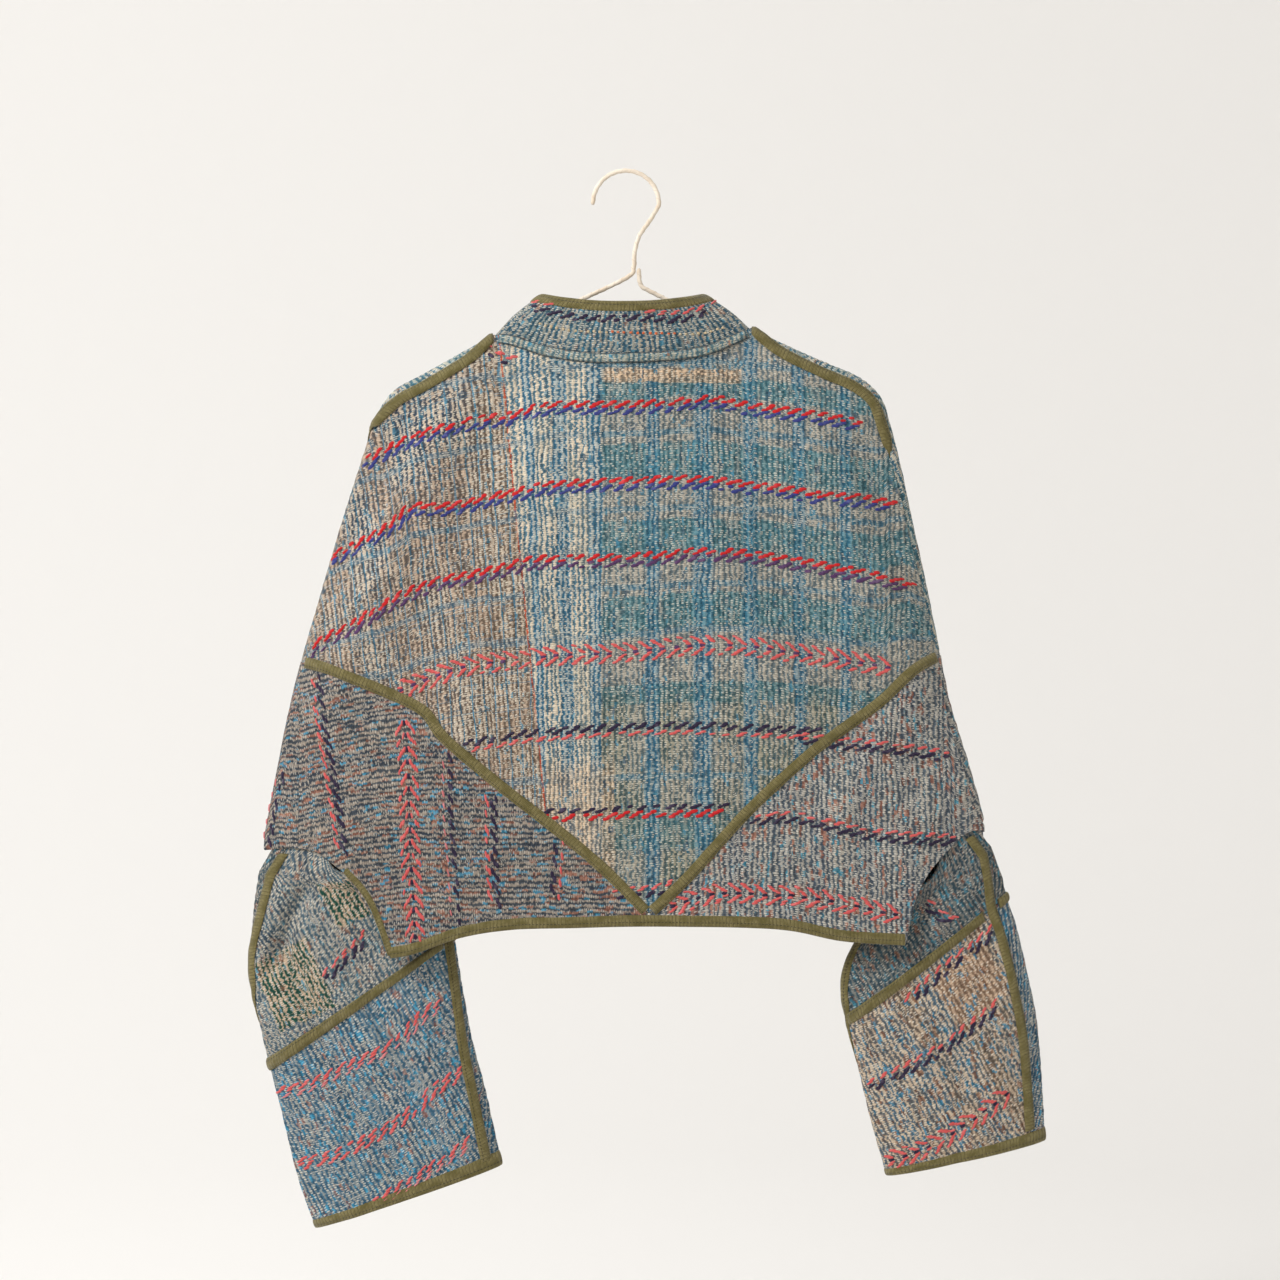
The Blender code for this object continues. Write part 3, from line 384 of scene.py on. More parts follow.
# Large folds of the hanging cloth. Columns, in millimetres: side, x0, z0, x1, z1, half width, height
BODY_FOLDS = (
    (BACK, -150, -200, -262, -470, 22, 5.0),
    (BACK, -195, -230, -285, -400, 16, -4.0),
    (BACK, -95, -180, -185, -440, 26, -4.0),
    (BACK, -250, -480, -180, -560, 22, 5.0),
    (BACK, -285, -560, -245, -580, 20, 4.0),
    (BACK, -60, -640, -150, -560, 20, 3.0),
    (BACK, 150, -190, 235, -400, 24, 4.0),
    (BACK, 90, -200, 185, -470, 30, -4.0),
    (BACK, 255, -450, 190, -570, 20, 5.0),
    (BACK, 280, -545, 245, -590, 20, 4.0),
    (BACK, 120, -560, 225, -640, 26, -2.5),
    (FRONT, -140, -190, -235, -430, 24, 4.0),
    (FRONT, 140, -190, 225, -440, 24, 4.0),
    (FRONT, -80, -230, -120, -560, 26, -4.0),
    (FRONT, 90, -230, 130, -560, 26, -4.0),
    (FRONT, -285, -555, -240, -580, 20, 4.0),
    (FRONT, 280, -545, 240, -580, 20, 4.0),
)
# Smaller creases that only the looks have. Columns as above
CREASES = (
    (BACK, -190, -300, -238, -360, 9, -2.5),
    (BACK, -214, -372, -262, -415, 8, -2.2),
    (BACK, -165, -455, -205, -380, 12, -2.8),
    (BACK, -140, -380, -176, -300, 10, 1.9),
    (BACK, -245, -452, -214, -520, 9, -2.5),
    (BACK, -288, -470, -262, -545, 8, 2.0),
    (BACK, -120, -600, -168, -650, 11, 2.2),
    (BACK, -70, -625, -92, -655, 8, -1.7),
    (BACK, 205, -250, 236, -330, 10, -2.3),
    (BACK, 180, -420, 222, -360, 12, 2.2),
    (BACK, 60, -300, 120, -420, 16, 1.9),
    (BACK, 232, -500, 205, -560, 10, -2.5),
    (BACK, 268, -500, 262, -560, 8, 1.9),
    (BACK, 60, -645, 110, -600, 12, 1.6),
    (BACK, -20, -230, -36, -400, 20, -1.6),
    (BACK, 150, -640, 205, -655, 8, 1.6),
    (FRONT, -180, -300, -226, -380, 10, -2.3),
    (FRONT, 176, -290, 220, -390, 10, -2.3),
    (FRONT, -60, -300, -84, -500, 14, 1.9),
    (FRONT, 50, -260, 70, -480, 14, 1.7),
    (FRONT, -200, -520, -160, -610, 10, 2.3),
    (FRONT, 190, -520, 150, -620, 10, -2.3),
)
left_edge, right_edge = smooth_curve(OUTLINE_LEFT), smooth_curve(OUTLINE_RIGHT)
neckline = {BACK: smooth_curve(NECK_BACK), FRONT: smooth_curve(NECK_FRONT)}
v_seam = np.vstack([smooth_curve(V_LEFT), smooth_curve(V_RIGHT)[1:]])
hem = {BACK: smooth_curve(HEM_BACK), FRONT: smooth_curve(HEM_FRONT)}
armhole = {"left": smooth_curve(ARMHOLE_LEFT), "right": smooth_curve(ARMHOLE_RIGHT)}
neck_left_x, neck_right_x = left_edge[0, 0], right_edge[0, 0]
v_left_x, v_tip_x, v_right_x = V_LEFT[0][0] * MM, V_RIGHT[0][0] * MM, V_RIGHT[-1][0] * MM
corner_left_x, corner_right_x = HEM_BACK[0][0] * MM, HEM_BACK[-1][0] * MM


def at_x(curve, x, column=1):
    """A curve's column at x."""
    order = np.argsort(curve[:, 0])
    return np.interp(x, curve[order, 0], curve[order, column])


def smoothstep(value):
    value = np.clip(value, 0, 1)
    return value * value * (3 - 2 * value)


def nearest_on_edge(x, z):
    """Distance from the outline, the way inwards and the fold's radius, at arrays of places."""
    distance, radius = np.full(x.shape, 9.0), np.zeros(x.shape)
    inward = np.zeros(x.shape + (2,))
    for edge, here in ((left_edge, x < 0), (right_edge, x >= 0)):
        if not here.any():
            continue
        for part in np.array_split(np.flatnonzero(here), max(1, here.sum() // 20000)):
            place = np.stack([x.flat[part], z.flat[part]], axis=1)
            start, run = edge[:-1, :2], np.diff(edge[:, :2], axis=0)
            rel = place[:, None] - start
            t = np.clip((rel * run).sum(2) / (run * run).sum(1), 0, 1)
            away = rel - run * t[..., None]
            length = np.linalg.norm(away, axis=2)
            best = length.argmin(1)
            rows = np.arange(len(part))
            way = unit(np.stack([-run[best, 1], run[best, 0]], axis=1))
            towards = np.stack([-start[best, 0], -0.45 - start[best, 1]], axis=1)
            way[(way * towards).sum(1) < 0] *= -1
            far = length[rows, best] > 1.5 * MM
            way[far] = unit(away[rows, best][far])
            distance.flat[part] = length[rows, best]
            inward.reshape(-1, 2)[part] = way
            radius.flat[part] = edge[best, 3] + (edge[best + 1, 3] - edge[best, 3]) * t[rows, best]
    return distance, inward, radius


def crease_depth(x, z, x0, z0, x1, z1, half_width, height):
    """Height of a smooth crease from one point to another, its numbers in millimetres."""
    run = np.array([x1 - x0, z1 - z0]) * MM
    x, z = x - x0 * MM, z - z0 * MM
    t = (x * run[0] + z * run[1]) / (run @ run)
    across = np.hypot(x - run[0] * t, z - run[1] * t) / (half_width * MM)
    beyond = np.maximum(0, np.maximum(-t, t - 1)) * np.linalg.norm(run) / (1.6 * half_width * MM)
    return height * MM * np.exp(-across ** 2 - beyond ** 2)


def fold_depth(side, x, z):
    """Height of the hanging folds and creases at places on one side."""
    total = np.zeros(x.shape)
    for fold_side, *crease in BODY_FOLDS + CREASES:
        total += np.where(side == fold_side, crease_depth(x, z, *crease), 0)
    return total


def fullness(side, x, z, distance):
    full = np.where(side == BACK, BACK_FULLNESS, FRONT_FULLNESS)
    lower = smoothstep((-z - 0.20) / 0.16)
    reach = FULLNESS_REACH_SHOULDER + (FULLNESS_REACH_HEM - FULLNESS_REACH_SHOULDER) * lower
    rise = full * (1 - np.exp(-distance / reach))
    return rise + fold_depth(side, x, z) * (1 - np.exp(-distance / (14 * MM)))


def body_points(side, x, z):
    """Middle of the cloth and its outward normal, at arrays of x and z on a side."""
    side = np.broadcast_to(np.asarray(side), x.shape)
    distance, inward, radius = nearest_on_edge(x, z)
    cosine = 1 - np.minimum(distance, radius) / radius
    sine = np.sqrt(np.maximum(0, 1 - cosine ** 2))
    here = fullness(side, x, z, distance)
    step = 1.5 * MM
    slope_x = (fullness(side, x + step, z, nearest_on_edge(x + step, z)[0]) - here) / step
    slope_z = (fullness(side, x, z + step, nearest_on_edge(x, z + step)[0]) - here) / step
    points = np.stack([x, side * (radius * sine + here), z], axis=-1)
    normals = np.stack([
        -inward[..., 0] * cosine - slope_x * sine,
        side * np.maximum(sine, 0.02),
        -inward[..., 1] * cosine - slope_z * sine,
    ], axis=-1)
    return points, unit(normals)


def fold_arc(offset, radius):
    """Length round the folded edge to a place at a distance from the outline, with its sign."""
    distance = np.abs(offset)
    arc = np.where(
        distance < radius,
        radius * np.arccos(np.clip(1 - distance / radius, -1, 1)),
        radius * math.pi / 2 + distance - radius,
    )
    return np.sign(offset) * arc


def fold_offset(arc, radius):
    """Distance from the outline of a place at a length round the folded edge, with its sign."""
    length, quarter = np.abs(arc), radius * math.pi / 2
    distance = np.where(length < quarter, radius * (1 - np.cos(length / radius)), radius + length - quarter)
    return np.sign(arc) * distance


def edge_row(x):
    """Height, overarm seam, fold radius and steepness of the outline at x."""
    rows = []
    for column in (1, 2, 3):
        rows.append(np.where(x < 0, at_x(left_edge, x, column), at_x(right_edge, x, column)))
    inner = x + np.where(x < 0, MM, -MM)
    near = np.where(x < 0, at_x(left_edge, inner), at_x(right_edge, inner))
    return rows[0], rows[1], rows[2], np.hypot(1, (near - rows[0]) / MM)


def lower_edge(side, x):
    """Bottom edge of the lower panels: hem in the middle, armholes at the ends."""
    found = np.where(x < corner_left_x, at_x(armhole["left"], x), at_x(hem[side], x))
    return np.where(x > corner_right_x, at_x(armhole["right"], x), found)


def panel_grid(side, left, right, top_is_seam, bottom, columns, rows):
    """Places of a body panel: side of each point, x, z and the unfolded place.

    top_is_seam tells, at each x, whether the panel starts at a given height or at the
    overarm seam on the folded edge; then its first rows lie round the fold.
    """
    x = np.linspace(left, right, columns)
    corners = [corner for corner in (v_left_x, v_right_x) if left + MM < corner < right - MM]
    x = np.sort([*x, *(corner + hair for corner in corners for hair in (-0.05 * MM, 0.05 * MM))])
    seam_z = top_is_seam(x)
    foot = bottom(x)
    edge_z, seam, radius, steepness = edge_row(x)
    room = 0.5 * (edge_z - foot) / steepness
    seam = np.clip(seam, -room, room)
    seam_arc = fold_arc(seam if side == BACK else -seam, radius)
    lapped = np.where(side == FRONT, smoothstep((-edge_z - LAP_START) / (25 * MM)), 0)
    start = seam_arc + SEAM_GAP / 2 - lapped * LAP_WIDTH
    end = radius * math.pi / 2 + (edge_z - foot) / steepness - radius
    t = np.linspace(0, 1, rows)[None, :]
    round_fold = np.clip(1 - t / FOLD_ROWS, 0, 1)
    below_fold = FOLD_SHARE + (1 - FOLD_SHARE) * (t - FOLD_ROWS) / (1 - FOLD_ROWS)
    t = np.where(t < FOLD_ROWS, FOLD_SHARE * t / FOLD_ROWS, below_fold)
    beyond, start = np.minimum(start, 0)[:, None], np.maximum(start, 0)
    arc = beyond * round_fold + start[:, None] + (end - start)[:, None] * t
    offset = fold_offset(arc, radius[:, None])
    on_seam = np.isnan(seam_z)[:, None]
    under = smoothstep((seam_arc[:, None] + 2 * MM - arc) / (3 * MM)) * lapped[:, None] * LAP_DEPTH
    under = np.where(on_seam, under, 0)
    straight = seam_z[:, None] + (foot - seam_z)[:, None] * t
    z = np.where(on_seam, edge_z[:, None] - np.abs(offset) * steepness[:, None], straight)
    unfolded = np.where(on_seam, edge_z[:, None] - arc * steepness[:, None], straight)
    sides = np.where(on_seam & (offset < 0), -side, side)
    x = np.broadcast_to(x[:, None], z.shape)
    # The part wrapped round the fold lies mirrored outside the outline when the cloth is flat
    reach = np.where(sides != side, np.abs(offset) + np.abs(arc), 0) / steepness[:, None]
    unfolded = np.where(reach > 0, z + reach, unfolded)
    across = x + np.sign(x) * np.sqrt(np.maximum(steepness ** 2 - 1, 0))[:, None] * reach
    return sides, x, z, np.stack([across, unfolded], axis=-1), under


def weft_lines(bands, turn=0.0):
    """Weft lines as curves in the cloth's own direction, from the top one down."""
    curves = []
    for band in bands:
        points = turned(np.array(band) * MM, -turn)
        points = points[np.argsort(points[:, 0])]
        slope = [(points[1] - points[0]), (points[-1] - points[-2])]
        before = points[0] - slope[0] * 0.03 / slope[0][0]
        after = points[-1] + slope[1] * 0.03 / slope[1][0]
        curves.append(np.array([before, *points, after]))
    return curves


def turned(places, degrees):
    """Places turned about the origin."""
    a = math.radians(degrees)
    return places @ np.array([[math.cos(a), math.sin(a)], [-math.sin(a), math.cos(a)]])


def cloth_grain(places, bands, turn=0.0, seed=1, lean=0.0, fan=0.0):
    """Place along the cloth's weft and across it: weft lines bend with the stitched bands."""
    local = turned(places, -turn)
    p, q = local[..., 0], local[..., 1]
    curves = weft_lines(bands, turn)
    heights = np.stack([np.interp(p, curve[:, 0], curve[:, 1]) for curve in curves])
    middle = float(np.mean(local[..., 0]))
    levels = [float(np.interp(middle, curve[:, 0], curve[:, 1])) for curve in curves]
    across = q - heights[0] + levels[0]
    for index in range(len(curves)):
        below = q < heights[index]
        if index + 1 < len(curves):
            share = (heights[index] - q) / np.maximum(heights[index] - heights[index + 1], 1e-4)
            value = levels[index] + (levels[index + 1] - levels[index]) * share
        else:
            value = q - heights[index] + levels[index]
        across = np.where(below, value, across)
    p = p - lean * np.maximum(0, -p - 0.02) * (-q - 0.30) / 0.2
    p = p + fan * np.maximum(0, q - 0.17) ** 2
    wave = 1.3 * MM * lattice_noise(p / (9 * MM), q / (26 * MM), seed)
    wave = wave + 0.6 * MM * lattice_noise(p / (5 * MM), q / (9 * MM), seed + 1)
    drift = 0.5 * MM * lattice_noise(p / (14 * MM), q / (8 * MM), seed + 2)
    return np.stack([p + wave, across + drift], axis=-1)


def cord_height(grain):
    """Height of the quilted cords, uneven along each one."""
    phase = grain[..., 0] / CORD_PITCH
    ridge = 1 - np.abs(2 * (phase - np.floor(phase)) - 1)
    ridge = np.sin(ridge * math.pi / 2) ** 1.2
    uneven = 0.72 + 0.28 * lattice_noise(np.floor(phase) * 1.7, grain[..., 1] / (7 * MM), 11)
    lumps = 0.12 * lattice_noise(grain[..., 0] / (2.4 * MM), grain[..., 1] / (2.6 * MM), 12)
    return CORD_RAISE * (2 * ridge * uneven - 0.8 + lumps)


outer_faces = {}


def cloth_panel(name, points, normals, places, grain, material, across=9, along=4):
    """Closed thin cloth: a fine corded outside, a plainer inside and rims between them."""
    count, rows = points.shape[:2]
    step_x = np.linalg.norm(np.diff(points[:, rows // 2], axis=0), axis=1).mean()
    from_side = np.minimum(np.arange(count), np.arange(count)[::-1])[:, None] * step_x
    down = np.linalg.norm(np.diff(points, axis=1), axis=2)
    down = np.concatenate([np.zeros((count, 1)), np.cumsum(down, axis=1)], axis=1)
    from_end = np.minimum(down, down[:, -1:] - down)
    calm = smoothstep(np.minimum(from_side, from_end) / (7 * MM))
    outside = points + normals * (CLOTH / 2 + cord_height(grain) * calm)[..., None]
    outer_faces[name] = outside, normals
    kept_i = np.unique([*range(0, count, across), count - 1])
    kept_j = np.unique([*range(0, rows, along), rows - 1])
    inside = (points - normals * CLOTH / 2)[np.ix_(kept_i, kept_j)]
    index = np.arange(count * rows).reshape(count, rows)
    first = index[:-1, :-1].ravel()
    faces = list(np.stack([first, first + rows, first + rows + 1, first + 1], axis=1))
    inner = index.size + np.arange(inside.shape[0] * inside.shape[1]).reshape(inside.shape[:2])
    a, b, c, d = inner[:-1, :-1], inner[:-1, 1:], inner[1:, 1:], inner[1:, :-1]
    faces += list(np.stack([a.ravel(), b.ravel(), c.ravel(), d.ravel()], axis=1))
    outer_loop = [*index[:, 0], *index[-1, 1:], *index[-2::-1, -1], *index[0, -2:0:-1]]
    lookup = dict(zip(index[np.ix_(kept_i, kept_j)].ravel().tolist(), inner.ravel().tolist()))
    marks = [k for k, here in enumerate(outer_loop) if int(here) in lookup]
    size = len(outer_loop)
    for here, there in zip(marks, marks[1:] + [marks[0] + size]):
        near, far = lookup[int(outer_loop[here])], lookup[int(outer_loop[there % size])]
        middle = (here + there) // 2
        for k in range(here, there):
            hold = near if k < middle else far
            faces.append((outer_loop[k % size], hold, outer_loop[(k + 1) % size]))
        faces.append((near, far, outer_loop[middle % size]))
    flip = np.cross(points[1, 1] - points[0, 1], points[0, 2] - points[0, 1]) @ normals[0, 1] > 0
    if not flip:
        faces = [face[::-1] for face in faces]
    everything = np.vstack([outside.reshape(-1, 3), inside.reshape(-1, 3)])
    maps = {}
    for label, values in (("place", places), ("grain", grain)):
        maps[label] = np.vstack([values.reshape(-1, 2), values[np.ix_(kept_i, kept_j)].reshape(-1, 2)])
    return add_piece(name, everything, faces, material, maps)


def shader_group(name, inputs, outputs):
    tree = bpy.data.node_groups.new(name, "ShaderNodeTree")
    for label, kind, value in inputs:
        socket = tree.interface.new_socket(label, in_out="INPUT", socket_type=kind)
        if value is not None:
            socket.default_value = value
    for label, kind in outputs:
        tree.interface.new_socket(label, in_out="OUTPUT", socket_type=kind)
    given = {socket.name: Signal(socket) for socket in tree.nodes.new("NodeGroupInput").outputs}
    return tree, given, tree.nodes.new("NodeGroupOutput").inputs


def kantha_group():
    """Cords, stitch rows, thread dashes and coloured flecks of the quilted cloth."""
    colour = "NodeSocketColor"
    number = "NodeSocketFloat"
    tree, given, result = shader_group(
        "kantha quilting",
        (
            ("Grain", "NodeSocketVector", None),
            ("Cord", colour, shade(217, 203, 180)),
            ("Gap", colour, shade(95, 142, 166)),
            ("Weft", colour, shade(80, 130, 140)),
            ("Weft Amount", number, 0.2),
            ("Thread", colour, shade(232, 226, 212)),
            ("Thread Amount", number, 0.6),
            ("Fleck One", colour, shade(160, 112, 90)),
            ("Fleck One Amount", number, 0.1),
            ("Fleck Two", colour, shade(60, 150, 180)),
            ("Fleck Two Amount", number, 0.1),
            ("Cord Share", number, 0.5),
        ),
        (("Color", colour), ("Height", number)),
    )
    grain = numbers(given["Grain"])

    def chance_of(x, y=0.0, z=0.0):
        spot = Signal(node(tree, "ShaderNodeCombineXYZ", {0: x, 1: y, 2: z}).outputs[0])
        made = node(tree, "ShaderNodeTexWhiteNoise", {"Vector": spot}, noise_dimensions="3D")
        return Signal(made.outputs["Value"])

    jag = chance_of(calc("FLOOR", grain[1] / ROW_PITCH), 9.0)
    across = grain[0] / CORD_PITCH + about_half(jag, 0.26)
    which_cord = calc("FLOOR", across)
    cord_chance = chance_of(which_cord, 0.0, 2.0)
    along = grain[1] / ROW_PITCH + cord_chance * 0.6
    cord = zigzag(across)
    row = zigzag(along)
    which_row = calc("FLOOR", along)
    half_cord = calc("FLOOR", across * 2.0)
    chance = chance_of(half_cord, which_row)
    fine = grain_noise(stretched(given["Grain"], 560, 700), 1.0, 3.0)
    worn = grain_noise(stretched(given["Grain"], 120, 50), 1.0, 2.0)
    share = cord + about_half(fine, 1.5) + about_half(chance, 0.7) + about_half(worn, 1.0)
    share = share + (given["Cord Share"] - 1.0)
    made = mixed(soft_step(share, -0.15, 0.15), given["Gap"], given["Cord"])
    # Weft lines, finer than the stitch rows
    line = zigzag(grain[1] / (1.45 * MM))
    weft = soft_step(line + about_half(fine, 0.8), 0.3, 0.7) * given["Weft Amount"]
    made = mixed(weft, made, given["Weft"])
    for seed, wide, tall, label in ((3.7, 0.5, 6.5 * MM, "Fleck One"), (8.3, 0.45, 5.0 * MM, "Fleck Two")):
        column = calc("FLOOR", across / wide + seed)
        shift = chance_of(column, seed) * 9.0
        run = calc("FLOOR", grain[1] / tall + shift)
        value = chance_of(column, run, seed) + about_half(worn, 0.6) + about_half(fine, 0.35)
        limit = 1.0 - given[f"{label} Amount"]
        mask = soft_step(value - limit, -0.02, 0.06) * 0.8
        made = mixed(mask, made, given[label])
    # Painted shade: darker valleys between the cords and between the stitch rows, times an uneven random
    # tone for each cell
    light = (
        0.46 + soft_step(cord, 0.0, 0.7) * 0.22 + about_half(chance, 0.48) + about_half(cord_chance, 0.1)
        + soft_step(row, 0.0, 0.6) * 0.16 + about_half(worn, 0.34) + about_half(fine, 0.4)
    )
    valley_shade_and_tone = Signal(node(tree, "ShaderNodeCombineColor", {0: light, 1: light, 2: light}).outputs[0])
    made = mixed(1.0, made, valley_shade_and_tone, "MULTIPLY")
    # Dashes of the running stitch
    start = chance_of(which_row, 5.0) * 0.55
    dash_place = grain[0] / (4.3 * MM) + start
    dash = calc("LESS_THAN", calc("FRACT", dash_place), 0.5) * soft_step(row, 0.35, 0.6)
    shown = chance_of(calc("FLOOR", dash_place), which_row, 4.0)
    dash = dash * calc("GREATER_THAN", shown + about_half(worn, 0.6), 0.5)
    made = mixed(dash * given["Thread Amount"], made, given["Thread"])
    link(made, result["Color"])
    height = calc("POWER", cord, 0.6) * 0.45 + row * 0.4 + fine * 0.8 + dash * 0.25
    link(height + about_half(chance, 0.4), result["Height"])
    return tree


kantha = kantha_group()


def kantha_material(name, **values):
    """A quilted cloth material, its quilting group node and the place on the panel."""
    made, tree, shader = new_material(name, 0.93, sheen=0.08)
    grain = map_place(tree, "grain")
    quilting = node(tree, "ShaderNodeGroup", {}, node_tree=kantha)
    link(grain, quilting.inputs["Grain"])
    for key, value in values.items():
        value = shade(*value) if isinstance(value, tuple) else value
        quilting.inputs[key.replace("_", " ").title()].default_value = value
    link(quilting.outputs["Color"], shader.inputs["Base Color"])
    raise_surface(shader, quilting.outputs["Height"], 0.8 * MM, 0.9)
    place = map_place(tree, "place")
    return made, quilting, place, grain


# Upper back: a patchwork of a beige and blue check on the left, a cream and blue stripe
# beside it, and a teal cross-check on the right, all worn thin and greener towards the point.
# It reaches from the collar and the overarm seams down to the V seam.
STRIPE_EDGE = (-109, -175, -72, -543)
CHECK_EDGE_X = -23.8 * MM
BACK_BANDS = (
    ((-231, -257), (-197, -240), (-166, -230), (-129, -221), (-99, -217), (-68, -209), (-10, -209),
     (21, -208), (52, -205), (77, -203), (101, -208), (136, -213), (186, -220), (216, -226)),
    ((-260, -341), (-223, -323), (-204, -312), (-187, -298), (-154, -297), (-117, -289),
     (-92, -284), (-68, -279), (-10, -276), (64, -274), (101, -278), (136, -282), (173, -288),
     (210, -290), (241, -297)),
    ((-279, -422), (-260, -410), (-235, -398), (-210, -382), (-186, -370), (-161, -361),
     (-136, -357), (-105, -350), (-80, -344), (-43, -343), (31, -340), (55, -337), (99, -338),
     (136, -343), (173, -349), (210, -356), (241, -363), (253, -369)),
    ((-199, -456), (-173, -445), (-143, -435), (-112, -430), (-55, -424), (-18, -423), (18, -420),
     (55, -416), (99, -416), (136, -421), (173, -426), (210, -432), (235, -436)),
    ((-141, -504), (-94, -496), (-65, -493), (-21, -490), (22, -488), (66, -488), (110, -490),
     (170, -493)),
    ((-71, -562), (-21, -561), (8, -559), (95, -557)),
)


def upper_top(side):
    """Top of an upper panel: the neckline between the neck corners, else the overarm seam."""
    def top(x):
        inside = (x > neck_left_x) & (x < neck_right_x)
        return np.where(inside, at_x(neckline[side], x), np.nan)
    return top


def upper_bottom(x):
    return at_x(v_seam, x) + SEAM_GAP / 2


def lower_top(x):
    """Top of a lower panel: the V seam between its corners, else the overarm seam."""
    inside = (x > v_left_x) & (x < v_right_x)
    return np.where(inside, at_x(v_seam, x) - SEAM_GAP / 2, np.nan)


TEAL_BANDS = ((-201, -186), (-270, -242), (-337, -309), (-403, -375), (-466, -452), (-592, -563))
BLUE_LINES = (-172, -232, -298, -366, -407, -530)
BLUE_COLUMNS = ((-82, 3), (-56, 5), (-27, 4), (22, 5), (66, 7), (107, 5), (150, 4), (190, 4))


def between(value, low, high, soft):
    """1 from low to high, fading over soft outside them."""
    rise = soft_step(value, low - soft, low)
    return rise * soft_step(value, high + soft, high)


def any_of(masks):
    found = masks[0]
    for mask in masks[1:]:
        found = calc("MAXIMUM", found, mask)
    return found


def laid_over(cloth, mask, gap, cord):
    """The gap and cord colours of a cloth, turned into others where the mask is 1."""
    return mixed(mask, cloth[0], gap), mixed(mask, cloth[1], cord)


